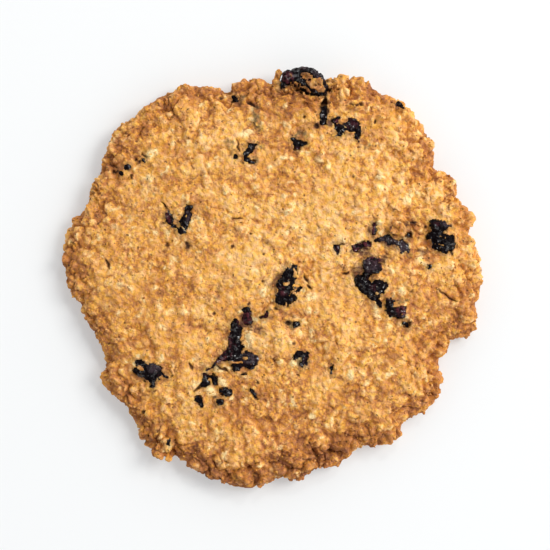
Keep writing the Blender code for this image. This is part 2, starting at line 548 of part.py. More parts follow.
def nodules(draw, material):
    """Crumbs along the rim, which make its edge knobbly from above and from the side."""
    made = []
    for index in range(NODULE_COUNT):
        bearing = 360.0 * (index + draw.uniform(-NODULE_DRIFT, NODULE_DRIFT)) / NODULE_COUNT
        length = draw.uniform(*NODULE_LENGTH)
        turn = math.radians(bearing)
        radius = rim_radius(bearing) + NODULE_REACH - 0.5 * length
        x, y = radius * math.cos(turn), radius * math.sin(turn)
        height = draw.uniform(*NODULE_HEIGHT) * SHOULDER_HEIGHT
        if not near_berry(x, y, length / 2.0 + BERRY_ROOM):
            size = (length, length, NODULE_DEPTH * length)
            made.append(lump(draw, Vector((x, y, height)), size, bearing, 1, material))
    return made


def apply_boolean(target, operation, cutters):
    """Join or cut a collection of solids into or out of one object, and remove the collection."""
    group = bpy.data.collections.new(f"{operation.lower()}_group")
    bpy.context.scene.collection.children.link(group)
    for cutter in cutters:
        cutter.hide_render = True
        cutter.display_type = "WIRE"
        group.objects.link(cutter)
        bpy.context.scene.collection.objects.unlink(cutter)
    modifier = target.modifiers.new(operation.lower(), "BOOLEAN")
    modifier.operation = operation
    modifier.operand_type = "COLLECTION"
    modifier.collection = group
    modifier.solver = "EXACT"
    evaluated = target.evaluated_get(bpy.context.evaluated_depsgraph_get())
    fused = bpy.data.meshes.new_from_object(evaluated)
    target.modifiers.remove(modifier)
    target.data = fused
    for cutter in cutters:
        bpy.data.objects.remove(cutter, do_unlink=True)
    bpy.data.collections.remove(group)


def drop_facets(target, share):
    """Collapse the slivers that a union leaves, down to a share of the facets."""
    modifier = target.modifiers.new("facets", "DECIMATE")
    modifier.ratio = share
    evaluated = target.evaluated_get(bpy.context.evaluated_depsgraph_get())
    simpler = bpy.data.meshes.new_from_object(evaluated)
    target.modifiers.remove(modifier)
    target.data = simpler


def keep_outer_shell(target):
    """Drop what a Boolean leaves loose or sealed inside: only the largest shell stays."""
    bm = bmesh.new()
    bm.from_mesh(target.data)
    bm.verts.index_update()
    shell_of = {}
    shells = []
    for start in bm.verts:
        if start.index in shell_of:
            continue
        shell_of[start.index] = len(shells)
        shell = [start]
        for vert in shell:
            for edge in vert.link_edges:
                other = edge.other_vert(vert)
                if other.index not in shell_of:
                    shell_of[other.index] = len(shells)
                    shell.append(other)
        shells.append(shell)
    shells.sort(key=len)
    for shell in shells[:-1]:
        bmesh.ops.delete(bm, geom=shell, context="VERTS")
    bm.to_mesh(target.data)
    bm.free()


def grown(outline, gap):
    """An outline pushed out all round."""
    following = outline[1:] + outline[:1]
    turning = sum(corner.x * after.y - after.x * corner.y for corner, after in zip(outline, following))
    outward = math.copysign(1.0, turning)
    pushed = []
    for before, corner, after in zip(outline[-1:] + outline[:-1], outline, following):
        first, second = (corner - before).normalized(), (after - corner).normalized()
        between = outward * Vector((first.y + second.y, -first.x - second.x))
        pushed.append(corner + between.normalized() * gap * min(MITRE, 2.0 / max(between.length, 0.1)))
    return pushed


def net(outline, inner):
    """The flat triangles inside an outline, through some points inside it."""
    edges = [(i, (i + 1) % len(outline)) for i in range(len(outline))]
    points, _, faces, _, _, _ = geometry.delaunay_2d_cdt(outline + inner, edges, [], 1, 1e-5)
    return points, faces


def slab(points, faces, tops, bottoms):
    """A closed solid as a bmesh: a flat net of triangles given a top and a bottom height at each point."""
    bm = bmesh.new()
    upper = [bm.verts.new((point.x, point.y, top)) for point, top in zip(points, tops)]
    lower = [bm.verts.new((point.x, point.y, bottom)) for point, bottom in zip(points, bottoms)]
    border = {}
    for a, b, c in faces:
        bm.faces.new((upper[a], upper[b], upper[c]))
        bm.faces.new((lower[c], lower[b], lower[a]))
        for edge in ((a, b), (b, c), (c, a)):
            if border.pop(edge[::-1], None) is None:
                border[edge] = True
    for a, b in border:
        bm.faces.new((upper[b], upper[a], lower[a], lower[b]))
    bmesh.ops.triangulate(bm, faces=bm.faces)
    bmesh.ops.recalc_face_normals(bm, faces=bm.faces)
    return bm


def inner_points(outline):
    """Even points well inside an outline."""
    left, low = min(corner.x for corner in outline), min(corner.y for corner in outline)
    right, high = max(corner.x for corner in outline), max(corner.y for corner in outline)
    inner = []
    row_step = BERRY_STEP * math.sqrt(3.0) / 2.0
    for row in range(math.ceil((high - low) / row_step)):
        for column in range(math.ceil((right - left) / BERRY_STEP) + 1):
            x = left + (column + 0.5 * (row % 2)) * BERRY_STEP
            y = low + (row + 0.5) * row_step
            if clearance(x, y, outline) > BERRY_MARGIN:
                inner.append(Vector((x, y)))
    return inner


def cranberry(name, stand, depth, corners, material):
    """One dried cranberry: a flat, wrinkled piece of fruit with rounded edges."""
    outline = [Vector(corner) for corner in corners]
    points, faces = net(outline, inner_points(outline))
    tops = []
    bottoms = []
    for index, point in enumerate(points):
        inset = 0.0
        if index >= len(outline):
            inset = min(1.0, clearance(point.x, point.y, outline) / BERRY_ROUNDING)
        full = BERRY_SIDE + (1.0 - BERRY_SIDE) * math.sqrt(1.0 - (1.0 - inset) ** 2)
        fold = 1.0 + BERRY_WRINKLE * ripple(point.x, point.y, BERRY_WRINKLE_CELL, 4)
        crown = crown_height(point.x, point.y)
        tops.append(crown + stand * full * fold)
        bottoms.append(crown - depth * full)
    berry = mesh_object(name, slab(points, faces, tops, bottoms), material)
    berry.data.shade_smooth()
    return berry


def pocket(depth, corners, material):
    """The hollow that one berry lies in, as a solid to cut the dough with."""
    outline = [Vector(corner) for corner in corners]
    points, faces = net(grown(outline, POCKET_GAP), inner_points(outline))
    crown = [crown_height(point.x, point.y) for point in points]
    tops = [height + POCKET_HEADROOM for height in crown]
    bottoms = [height - depth - POCKET_GAP for height in crown]
    return mesh_object("pocket", slab(points, faces, tops, bottoms), material)


def fissure_cutter(material):
    """The wedge of air that parts the dough beside the rim berry."""
    x, y, length, width, bearing, depth = FISSURE
    bm = bmesh.new()
    made = bmesh.ops.create_icosphere(bm, subdivisions=2, radius=1.0)
    shape = (
        Matrix.Translation((x, y, crown_height(x, y) + FISSURE_MOUTH))
        @ Matrix.Rotation(math.radians(bearing), 4, "Z")
        @ Matrix.Diagonal((length / 2.0, width / 2.0, depth + FISSURE_MOUTH, 1.0))
    )
    bmesh.ops.transform(bm, verts=made["verts"], matrix=shape)
    return mesh_object("fissure", bm, material)


def dough(material):
    """The biscuit itself: the core with its crags, oats and nodules, less the berries' pockets."""
    draw = random.Random(SEED)
    biscuit = mesh_object("dough", dough_core(), material)
    crumbs = crags(draw, material) + oats(draw, material) + nodules(draw, material)
    apply_boolean(biscuit, "UNION", crumbs)
    keep_outer_shell(biscuit)
    drop_facets(biscuit, CRUMB_FACETS)
    cutters = [fissure_cutter(material)]
    for _, depth, corners in CRANBERRIES.values():
        cutters.append(pocket(depth, corners, material))
    apply_boolean(biscuit, "DIFFERENCE", cutters)
    keep_outer_shell(biscuit)
    biscuit.data.shade_smooth()
    biscuit.data.set_sharp_from_angle(angle=math.radians(CREASE_ANGLE))
    return biscuit


def build():
    """Model the whole biscuit, its outline centred over the origin."""
    clear_scene()
    dough_finish = finish_material("dough")
    berry_finish = finish_material("cranberry")
    made = [dough(dough_finish)]
    for name, (stand, depth, corners) in CRANBERRIES.items():
        made.append(cranberry(name, stand, depth, corners, berry_finish))
    corners = [vert.co for piece in made for vert in piece.data.vertices]
    middle_x = (min(corner.x for corner in corners) + max(corner.x for corner in corners)) / 2.0
    middle_y = (min(corner.y for corner in corners) + max(corner.y for corner in corners)) / 2.0
    for piece in made:
        piece.data.transform(Matrix.Translation((-middle_x, -middle_y, 0.0)))


build()
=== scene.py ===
"""The looks of the cranberry butter biscuit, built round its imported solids.

Everything is in the solids' frame: +Z up, the base on z = 0, the middle of the outline over the origin.
Surfaces are worked in millimetres, and MM turns them back into the frame's metres.
"""

import math
import random

import bmesh
import bpy
import numpy as np
from mathutils import Matrix, Vector
from mathutils.bvhtree import BVHTree


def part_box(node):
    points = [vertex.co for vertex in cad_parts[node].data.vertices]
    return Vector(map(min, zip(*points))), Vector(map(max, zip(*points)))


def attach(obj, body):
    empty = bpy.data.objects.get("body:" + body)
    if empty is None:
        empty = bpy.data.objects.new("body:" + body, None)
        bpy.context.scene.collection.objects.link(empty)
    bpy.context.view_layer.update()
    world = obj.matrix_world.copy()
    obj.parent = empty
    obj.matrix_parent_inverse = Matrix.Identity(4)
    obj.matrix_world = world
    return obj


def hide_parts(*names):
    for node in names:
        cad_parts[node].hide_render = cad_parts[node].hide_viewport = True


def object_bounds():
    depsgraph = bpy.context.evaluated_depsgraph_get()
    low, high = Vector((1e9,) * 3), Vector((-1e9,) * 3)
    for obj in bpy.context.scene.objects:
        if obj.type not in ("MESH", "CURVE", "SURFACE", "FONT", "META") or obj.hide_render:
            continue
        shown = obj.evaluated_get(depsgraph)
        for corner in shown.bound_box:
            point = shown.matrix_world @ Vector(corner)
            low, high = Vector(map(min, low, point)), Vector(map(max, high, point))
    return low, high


MM = 0.001
SEED = 7                  # each pattern adds its own layer number, so that no two fall alike
FAR = 9.0                 # farther than anything that a pattern or a mark looks for

# Lengths from here on are in millimetres unless a line says otherwise, and bearings are in degrees.
ABOVE = 50.0              # rays that look down start at this height

# The dough's skin.
DOUGH_VOXEL = 0.24
DOUGH_SOFTEN = 5          # rounds of smoothing that melt the facets before the crumb is raised
DOUGH_FACETS = 195000
BASE_SKIN = 0.35          # the flat base reaches this far up, and is left plain
RIM_BAND = (1.0, 9.0)     # from the edge inwards: fully rim, then fully crown
RIM_SECTORS = 120         # the outline's reach is taken in this many directions
LOWEST_FRUIT = 3.0        # no cranberry shows below this height
FRUIT_PROUD = 0.25        # the crust stays this far below the fruit's own skin
FRUIT_NEAR = 4.0          # the crumb's distance from the fruit is measured up to here

# The calmer, smoother side of the top: its middle (x, y), then its reach along x and y.
SMOOTH_SIDE = (-20.0, -1.0, 19.0, 21.0)

# Relief of the crumb: cell width, then height on the crown and on the rim.
LUMPS = (2.9, 0.24, 0.80)
FLAKES = (1.4, 0.18, 0.30)
SCRAPS = (0.8, 0.14, 0.19)

# Relief of the same height all over: cell width, then height.
BEADS = (1.9, 0.30)
GRAIN = (0.6, 0.08)

# Relief of the marks on the top: how far each stands out, or sinks in.
OAT_RISE = 0.15
CRACK_DEPTH = 0.55
PIT_DEPTH = 0.35
KNOB_RISE = 0.75

# How baked, so how brown, the dough is, with painted light and shade in it: a start, then how much each
# thing adds, or takes away.
BAKE = 0.27
BAKE_RIM = 0.29
BAKE_UNDER = 0.30
BAKE_KNOB = 0.20
BAKE_LUMP = 0.30          # from one lump to the next
BAKE_FLAKE = 0.35
BAKE_SCRAP = 0.26
# The paler places in TONES are partly painted light and shade.
TONE_AND_PAINTED_LIGHT = -0.26         # the paler places in TONES, and noise
# Painted light and shade: what stands out is painted paler, what lies low browner.
PAINTED_SHADE_BY_HEIGHT = -0.70       # what stands out is paler

# Paler places on the crown, partly the dough's own tone and partly painted light and shade of its broad
# swells: (x, y, radius, strength); negative is browner.
TONES = (
    (20.5, 18.6, 8.0, 0.8), (12.0, 23.9, 7.0, 0.7), (-6.1, 10.1, 6.0, 0.7), (12.0, 6.9, 7.0, 0.9),
    (16.3, -11.2, 6.0, 0.9), (2.4, -15.4, 6.0, 0.6), (-18.8, -25.0, 5.5, 0.6), (-7.1, -33.5, 5.0, 0.7),
    (27.5, 34.0, 5.0, 1.2), (41.3, 3.0, 4.5, 1.3), (30.1, 8.0, 4.0, -0.6), (7.6, -13.4, 5.5, -1.4),
    (6.2, -33.6, 6.5, -1.4), (15.2, -36.7, 5.0, -0.7), (-5.0, 39.9, 6.0, -0.7), (-37.0, -8.0, 9.0, -0.1),
    (-30.0, -24.0, 6.0, -0.1), (-22.0, 4.0, 9.0, -0.1), (0.0, -41.5, 6.5, -0.8), (9.0, -41.0, 5.0, -0.9),
    (-4.0, -27.6, 6.0, -1.4), (-7.0, -21.4, 4.0, -0.8), (-13.5, -40.5, 4.5, -0.9), (3.2, 35.4, 6.0, -1.1),
    (28.4, -7.6, 5.0, -0.9), (40.8, -7.0, 4.0, -0.6), (0.0, 10.0, 6.0, 1.1), (-5.5, 0.5, 4.5, 0.9),
    (35.4, 14.6, 4.5, 1.2), (21.4, 0.4, 5.0, 0.7), (14.4, -6.4, 4.0, 0.6), (14.4, 41.0, 3.5, 0.7),
    (-22.6, -14.0, 5.0, -0.8), (-34.6, 25.0, 5.0, -0.6), (-14.0, 14.2, 4.0, -0.6), (21.4, -28.0, 4.5, -0.6),
    (5.0, 28.0, 5.0, -0.5), (21.2, 28.0, 3.5, -0.5), (-9.7, -4.8, 2.5, -1.0), (-7.0, -36.0, 3.5, 0.5),
    (-14.0, -41.5, 3.0, -0.8),
)

# Marks on the top, each an oval: (x, y, length, width, bearing of the length).
# Dough that has crept over the fruit.
CREPT = (
    (8.4, 41.4, 6.2, 2.6, -32), (7.8, 44.3, 2.4, 0.9, -25), (11.4, 41.8, 4.2, 0.7, -62),
    (3.7, 42.8, 0.9, 0.9, 0), (4.5, 40.4, 4.0, 1.5, -8), (7.6, 39.7, 2.6, 0.9, -22),
    (-19.2, 10.6, 2.4, 0.4, -52), (-17.9, 13.0, 1.0, 0.7, 80), (4.6, 0.9, 1.5, 0.9, 100),
    (3.2, -1.0, 0.9, 0.7, 20), (5.3, -1.1, 1.4, 1.0, 30), (4.7, -3.4, 0.8, 0.6, 0),
    (3.9, -2.9, 2.4, 0.3, 48), (21.7, 0.2, 2.2, 1.0, -15), (21.5, -3.1, 0.9, 0.7, 10),
    (22.8, -4.4, 2.2, 0.6, -60), (26.1, -5.6, 2.2, 0.8, 28), (27.3, -7.9, 0.8, 0.5, 0),
    (37.1, 9.7, 2.6, 0.9, 8), (36.0, 8.5, 0.9, 0.6, 0), (35.2, 7.2, 1.2, 0.5, -30),
    (-9.0, -17.9, 4.6, 0.5, 2), (-6.0, -17.0, 0.8, 0.5, 20), (-27.9, -19.3, 1.6, 1.1, -40),
    (5.8, -17.2, 1.3, 0.9, 90), (25.9, 6.0, 2.0, 0.8, -70), (-13.2, -21.3, 1.2, 0.8, 20),
    (15.9, 30.8, 2.2, 0.5, 10), (15.4, 32.3, 0.8, 0.5, 0),
)
# Damp, olive dough over fruit that lies just under it.
OLIVE_MARKS = (
    (5.9, 30.2, 2.8, 2.2, 0), (-3.5, 33.5, 4.4, 1.8, 95), (-2.8, 31.0, 1.4, 1.2, 0),
    (-3.2, 35.7, 1.4, 1.4, 0), (-4.2, 24.6, 1.8, 1.4, 0), (-2.9, 28.1, 1.6, 1.2, 0),
    (27.8, -4.4, 1.8, 0.9, 30), (-12.5, -25.4, 1.2, 0.9, 0), (-6.1, 38.5, 1.2, 1.0, 0),
    (-9.0, 28.3, 1.2, 1.2, 0), (3.7, -9.9, 2.4, 1.2, -10), (32.9, 2.4, 1.2, 1.2, 0),
    (6.1, -17.2, 2.6, 2.2, 90), (19.8, 27.8, 1.8, 1.0, 0), (-26.7, 26.3, 2.0, 0.9, 60),
)
# Dough browned by juice, and painted shadow beside the knob and beside the middle berry.
JUICE_AND_SHADOW_MARKS = (
    (0.7, -0.5, 3.2, 1.2, 50), (19.3, 5.3, 2.6, 2.4, -60), (18.0, 1.3, 2.6, 2.2, 70),
    (28.8, 8.2, 1.8, 1.4, 60), (28.5, 11.2, 2.4, 0.9, 75), (-3.6, -10.7, 3.4, 1.3, -40),
    (-6.1, -8.9, 2.8, 2.2, 60), (31.6, 5.8, 1.6, 0.9, 0), (-7.1, 37.2, 1.2, 0.9, 0),
    (-18.2, 7.1, 1.6, 1.0, 70), (-10.7, -17.2, 3.2, 1.2, 40), (-11.3, -2.8, 2.2, 0.8, 90),
    (12.6, 32.9, 2.0, 1.2, 0), (25.1, 10.8, 2.8, 0.7, 85), (29.3, 12.0, 3.0, 0.9, 8),
    (22.3, 3.9, 3.4, 1.6, -10), (24.5, 7.0, 3.6, 1.0, -30), (20.9, 9.9, 1.4, 2.8, 0),
    (9.2, 32.2, 1.6, 1.0, 0),
)
# Cracks, sunk in and painted near black: painted shade in them.
CRACKS = (
    (-4.5, 36.8, 1.9, 0.5, -37), (-22.8, 15.4, 2.3, 0.4, -54), (6.9, -0.1, 1.5, 0.4, -59),
    (7.6, -1.6, 1.2, 0.4, -37), (15.3, 1.0, 1.5, 0.5, 5), (29.4, 11.9, 1.3, 0.5, 22),
    (30.3, 11.8, 1.3, 0.4, -29), (-10.7, -19.0, 2.7, 0.5, -22), (-15.6, -23.1, 2.5, 0.6, -131),
    (5.3, -20.5, 1.0, 0.4, -50), (-7.2, 27.9, 1.9, 0.4, -69), (37.1, -3.7, 3.9, 0.32, -31),
    (-34.9, 3.0, 2.0, 0.45, -66), (-17.3, -18.6, 1.3, 0.4, -79), (3.2, -9.5, 1.3, 0.4, 11),
    (-27.4, 26.2, 1.2, 0.4, -60), (10.9, 35.7, 6.4, 1.5, 86), (-3.9, -24.4, 2.4, 0.6, -55),
    (14.6, 7.0, 1.6, 0.35, 18), (17.9, 36.8, 2.5, 0.4, -6), (-7.5, 12.5, 2.3, 0.35, -6),
)
# Pinholes, sunk in and painted near black: painted shade in them.
PITS = (
    (-11.0, 38.4, 0.8, 0.8, 0), (9.2, 32.2, 1.0, 1.0, 0), (-18.3, 7.5, 0.7, 0.7, 0),
    (-18.1, 6.7, 0.8, 0.8, 0), (-22.4, 7.1, 0.6, 0.6, 0), (-2.0, -0.8, 0.5, 0.5, 0),
    (-2.0, 5.1, 0.6, 0.6, 0), (-8.4, 6.8, 0.6, 0.6, 0), (-4.7, 9.4, 0.5, 0.5, 0),
    (-28.2, 24.6, 0.6, 0.6, 0), (-29.2, 25.0, 0.6, 0.6, 0), (-30.1, 21.6, 0.7, 0.7, 0),
    (-33.8, 22.6, 0.6, 0.6, 0), (-33.0, 22.5, 0.6, 0.6, 0), (-27.5, -28.3, 0.8, 0.8, 0),
    (4.2, -13.5, 0.6, 0.6, 0), (32.3, 10.9, 0.8, 0.8, 0), (-3.2, -22.1, 0.6, 0.6, 0),
    (0.7, -6.4, 0.6, 0.6, 0), (-5.1, -5.4, 0.6, 0.6, 0), (-12.5, -7.4, 0.5, 0.5, 0),
    (3.2, -9.4, 0.7, 0.7, 0), (38.0, 5.3, 0.7, 0.7, 0), (6.7, 34.0, 0.6, 0.6, 0),
    (21.6, 33.1, 0.7, 0.7, 0), (17.0, 21.4, 0.4, 0.4, 0),
)
# The palest flakes.
OATS = (
    (-25.5, 26.3, 2.4, 1.7, 80), (-25.4, 20.8, 1.2, 1.1, 0), (-26.6, 21.4, 1.1, 1.0, 0),
    (-3.9, 1.5, 2.6, 0.8, -65), (27.0, -2.4, 2.0, 1.6, 0), (27.9, -5.7, 1.1, 1.0, 0),
    (28.2, -8.2, 1.1, 1.0, 0), (5.3, -8.3, 1.5, 0.7, -40), (22.3, 11.5, 1.3, 1.0, 60),
    (-13.9, -13.1, 1.4, 1.2, 0), (9.9, 25.0, 1.8, 1.6, 0), (-5.3, -14.0, 1.6, 0.9, 30),
    (4.0, -17.5, 1.0, 1.4, 0), (8.0, -3.8, 2.2, 1.6, 0), (23.8, 16.7, 1.2, 0.8, 60),
    (-1.7, -2.8, 1.6, 1.0, 40), (22.6, 21.4, 1.6, 1.2, 0), (-13.1, -23.8, 2.4, 1.8, -20),
    (-10.6, -22.0, 1.9, 1.6, 0), (-4.9, -12.6, 1.8, 2.6, 20), (-11.6, -19.2, 2.0, 1.0, -15),
)
# Crumbs stuck on the top.
KNOBS = (
    (26.5, 10.7, 3.0, 3.8, 90), (30.0, 11.0, 1.5, 1.4, 0), (22.7, 11.7, 1.4, 1.2, 60),
    (7.9, 36.2, 3.4, 2.6, 40),
)
# Redder fruit.
WINE_SKIN = (
    (17.9, 6.5, 5.0, 1.8, 20), (21.4, 10.2, 3.4, 1.4, 80), (21.3, 3.5, 4.6, 2.4, -10),
    (-11.3, -17.2, 5.0, 1.6, 45), (-9.3, -13.9, 2.4, 4.4, 0), (-5.8, -8.6, 3.0, 3.4, 0),
    (-22.2, 12.6, 1.0, 2.4, 20), (27.2, -6.8, 2.2, 2.4, 0), (2.1, -2.8, 1.0, 2.2, 0),
    (13.4, 33.1, 2.6, 1.4, -10), (3.3, 42.6, 2.6, 2.4, 0), (-1.4, -8.0, 1.6, 1.8, 0),
)
# Dull, greyer fruit.
BLOOM = (
    (20.5, 2.5, 3.6, 3.0, 0), (27.0, 6.5, 3.6, 2.6, -40), (-4.6, -16.9, 3.6, 2.4, 0),
    (-24.9, -19.0, 3.0, 2.4, 0), (-6.2, -16.5, 1.6, 0.8, 20), (-17.8, 12.8, 1.2, 2.2, 0),
    (9.6, 43.0, 2.4, 1.2, -35), (36.5, 11.6, 2.4, 1.0, -30), (24.4, 7.8, 3.6, 1.2, -25),
    (6.4, -18.2, 2.0, 1.2, 0),
)

# The berries' skin: the last three are a cell width, then a height.
BERRY_VOXEL = 0.12
BERRY_SOFTEN = 3          # rounds of smoothing
BERRY_SWELL = 0.10        # closes part of the pocket's gap
SWELLS = (2.2, 0.30)
WRINKLES = (1.5, 0.60)
CREASES = (0.70, 0.32)

# Dough that has crept over the berries.
FILM_GRID = 0.18
FILM_DEPTH = 0.5          # how thick it is
FILM_REACH = 2.0          # how far it runs out over the crust
FILM_LOWEST = 1.0         # none of it lies below this height
POCKET_EDGE = 0.85        # the crust has its own level again this far from the fruit
POCKET_ROUNDS = 24        # rounds of averaging that carry the level across the pocket
SUNK_FRUIT = 0.6          # fruit this far below the crust is still fruit to lie on
STEEPEST = (0.7, 0.2)     # the most it climbs in one cell, over crust and where none lies below
INSIDE_CELLS = 12         # distances from the fruit's edge are counted up to here, inwards
OUTSIDE_CELLS = 14        # and outwards

# How much more of a berry the dough covers, or less where negative.
COVER = {"cranberry_veiled": 0.40, "cranberry_far_left": 0.10, "cranberry_far_left_dot": 0.10,
         "cranberry_upper_left": 0.05, "cranberry_purple_dot": -0.30, "cranberry_upper": -0.15}
SMALL_BERRY = (3.2, -0.20)  # berries narrower than this, and the same for them

# Loose crumbs.
CRUMB_COUNT = 900
CRUMB_SIZES = (0.35, 0.9)
CRUMB_FLATNESS = 0.7      # height over width
CRUMB_LIFT = 0.12         # how far a crumb's middle lies above the surface, in heights
CRUMB_SHAPES = 12
CRUMB_CORNERS = 11
CRUMB_RIM = 36.0          # beyond this from the middle every place found gets its crumb,
CRUMB_CROWN = 0.3         # and nearer only this share of them

# The camera, straight above.
VIEW_WIDTH = 117.0        # what it sees across, half way up the biscuit
LENS = 100.0
SENSOR = 36.0
LOOK_AT = (0.45, 0.67)

# The lights: bearing, elevation, distance and side in metres, power in watts, colour.
KEY = (24.0, 44.0, 1.3, 0.62, 11.3, (1.0, 0.985, 0.955))
SPARKLE = (70.0, 48.0, 1.0, 0.10, 1.1, (1.0, 0.99, 0.98))

# The sky's strength: a direction, then where along it the strength changes, and from what to what.
SKY_COLOUR = (0.98, 0.99, 1.0)
SOFT_SIDE = (0.94, 0.34, 0.0)
SKY = (-1.0, 1.0, 0.78, 1.42)
OVERHEAD = (0.0, 0.0, 1.0)
DIM_CAP = (0.55, 0.88, 1.0, 0.15)

# The floor, its sides in metres.
FLOOR_HALF = 1.5
FLOOR_COLOUR = (0.60, 0.612, 0.620)
FLOOR_GLOW = (0.985, 0.995, 1.0)
FLOOR_GLOW_STRENGTH = 0.285


# --- Seeded patterns ---------------------------------------------------------------------------------

def hashed(lattice, layer):
    """Even pseudo-random shares, 0 to 1, one for each whole-number lattice point."""
    mixed = lattice[:, 0] * 73856093 ^ lattice[:, 1] * 19349663 ^ lattice[:, 2] * 83492791
    mixed = (mixed ^ (layer + 101 * SEED) * 2654435761) & 0xFFFFFFFF
    for _ in range(2):
        mixed = ((mixed ^ (mixed >> 16)) * 0x45D9F3B) & 0xFFFFFFFF
    return (mixed ^ (mixed >> 16)) / 0xFFFFFFFF


def lattice_noise(points, cell, layer):
    """Smooth noise between -1 and 1 with features about a cell wide."""
    scaled = points / cell
    base = np.floor(scaled).astype(np.int64)
    share = scaled - base
    share = share ** 3 * (share * (share * 6.0 - 15.0) + 10.0)
    total = np.zeros(len(points))
    for corner in np.ndindex(2, 2, 2):
        weight = np.prod(np.where(corner, share, 1.0 - share), axis=1)
        total += weight * hashed(base + np.array(corner), layer)
    return 2.0 * total - 1.0


def flake_pattern(points, cell, layer, crisp=9.0, tilt=0.9, dome=0.45):
    """A packing of tilted flakes: height about -0.5 to 0.5, gap to the next flake, value 0 to 1."""
    scaled = points / cell
    base = np.floor(scaled).astype(np.int64)
    near = np.full(len(points), FAR)
    following = np.full(len(points), FAR)
    found = []
    for corner in np.ndindex(3, 3, 3):
        lattice = base + np.array(corner) - 1
        shares = np.stack([hashed(lattice, layer + side) for side in range(3)], axis=1)
        offset = scaled - lattice - shares
        distance = np.einsum("ij,ij->i", offset, offset)
        following = np.minimum(following, np.maximum(near, distance))
        near = np.minimum(near, distance)
        found.append((lattice, offset, distance))
    height = np.zeros(len(points))
    value = np.zeros(len(points))
    total = np.zeros(len(points))
    for lattice, offset, distance in found:
        close = np.flatnonzero(distance < near + 0.8)
        weight = np.exp(crisp * (near[close] - distance[close]))
        level = hashed(lattice[close], layer + 3) - 0.5
        lean = np.stack([hashed(lattice[close], layer + side) for side in (4, 5, 6)], axis=1) - 0.5
        level += 2.0 * tilt * np.einsum("ij,ij->i", lean, offset[close]) - dome * distance[close]
        height[close] += weight * level
        value[close] += weight * hashed(lattice[close], layer + 7)
        total[close] += weight
    gap = np.sqrt(following) - np.sqrt(near)
    return height / total + 0.27 * dome, gap, value / total


def ramp(values, low, high):
    """0 at low, 1 at high, smooth between; falls instead where low is above high."""
    share = np.clip((values - low) / (high - low), 0.0, 1.0)
    return share * share * (3.0 - 2.0 * share)


def warped(points, cell, reach, layer):
    """The points pushed about, so that a packing's cells aren't straight-sided."""
    push = [lattice_noise(points, cell, layer + side) for side in range(3)]
    return points + reach * np.stack(push, axis=1)


def within(points, ovals, waver, soft):
    """A share for each point: 1 well inside one of the ovals, a half on its edge, 0 outside."""
    bent = warped(points, 1.1, waver, 321)
    depth = np.full(len(points), -FAR)
    for x, y, length, width, bearing in ovals:
        turn = math.radians(bearing)
        apart_x, apart_y = bent[:, 0] - x, bent[:, 1] - y
        along = (apart_x * math.cos(turn) + apart_y * math.sin(turn)) / length
        across = (apart_y * math.cos(turn) - apart_x * math.sin(turn)) / width
        depth = np.maximum(depth, (0.5 - np.hypot(along, across)) * min(length, width))
    return ramp(depth, -soft, soft)


# --- Meshes ------------------------------------------------------------------------------------------

def vertex_arrays(mesh):
    """Vertex places in millimetres, and vertex normals."""
    places = np.empty(len(mesh.vertices) * 3)
    normals = np.empty(len(mesh.vertices) * 3)
    mesh.vertices.foreach_get("co", places)
    mesh.vertices.foreach_get("normal", normals)
    return places.reshape(-1, 3) / MM, normals.reshape(-1, 3)


def place_vertices(mesh, places):
    """Write vertex places given in millimetres."""
    mesh.vertices.foreach_set("co", (places * MM).ravel())
    mesh.update()


def store(mesh, name, values):
    """Keep one share for each vertex as an attribute for the materials."""
    attribute = mesh.attributes.new(name, "FLOAT", "POINT")
    attribute.data.foreach_set("value", values.astype(np.float32))


def new_piece(name, mesh):
    """An object in the scene for a mesh, shaded smooth."""
    mesh.polygons.foreach_set("use_smooth", np.ones(len(mesh.polygons), bool))
    piece = bpy.data.objects.new(name, mesh)
    bpy.context.scene.collection.objects.link(piece)
    return piece


def applied(piece, kind, **settings):
    """Put one modifier on a piece and make its result the piece's mesh."""
    modifier = piece.modifiers.new(kind, kind)
    for key, value in settings.items():
        setattr(modifier, key, value)
    evaluated = piece.evaluated_get(bpy.context.evaluated_depsgraph_get())
    mesh = bpy.data.meshes.new_from_object(evaluated)
    piece.modifiers.clear()
    piece.data = mesh


def remeshed_copy(node, name, voxel):
    """A new object with the node's form, in even small facets."""
    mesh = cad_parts[node].data.copy()
    mesh.materials.clear()
    piece = new_piece(name, mesh)
    applied(piece, "REMESH", mode="VOXEL", voxel_size=voxel * MM, use_smooth_shade=True)
    return piece


def softened(mesh, places, rounds):
    """Places after each vertex has moved half way to its neighbours' middle, a few times."""
    edges = np.empty(len(mesh.edges) * 2, np.int64)
    mesh.edges.foreach_get("vertices", edges)
    first, second = edges[0::2], edges[1::2]
    count = np.bincount(edges, minlength=len(places))[:, None]
    for _ in range(rounds):
        total = np.zeros_like(places)
        for axis in range(3):
            total[:, axis] += np.bincount(first, places[second, axis], len(places))
            total[:, axis] += np.bincount(second, places[first, axis], len(places))
        places = 0.5 * places + 0.5 * total / count
    return places


def surface_tree(*meshes):
    """A search tree over meshes' faces, in metres."""
    corners = []
    faces = []
    for mesh in meshes:
        start = len(corners)
        corners += [vertex.co for vertex in mesh.vertices]
        faces += [tuple(start + corner for corner in face.vertices) for face in mesh.polygons]
    return BVHTree.FromPolygons(corners, faces)


def fruit_tree():
    """A search tree over all the cranberries' solids."""
    return surface_tree(*(node.data for name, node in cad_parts.items() if name != "dough"))


def seen_from_above(tree, x, y):
    """The first place and normal that a ray straight down meets, in metres; None where it meets none."""
    return tree.ray_cast(Vector((x * MM, y * MM, ABOVE * MM)), Vector((0.0, 0.0, -1.0)))[:2]


# --- The dough ---------------------------------------------------------------------------------------

def height_at(relief, rim):
    """A relief's height at each point, between its heights on the crown and on the rim."""
    _, crown_height, rim_height = relief
    return crown_height + (rim_height - crown_height) * rim


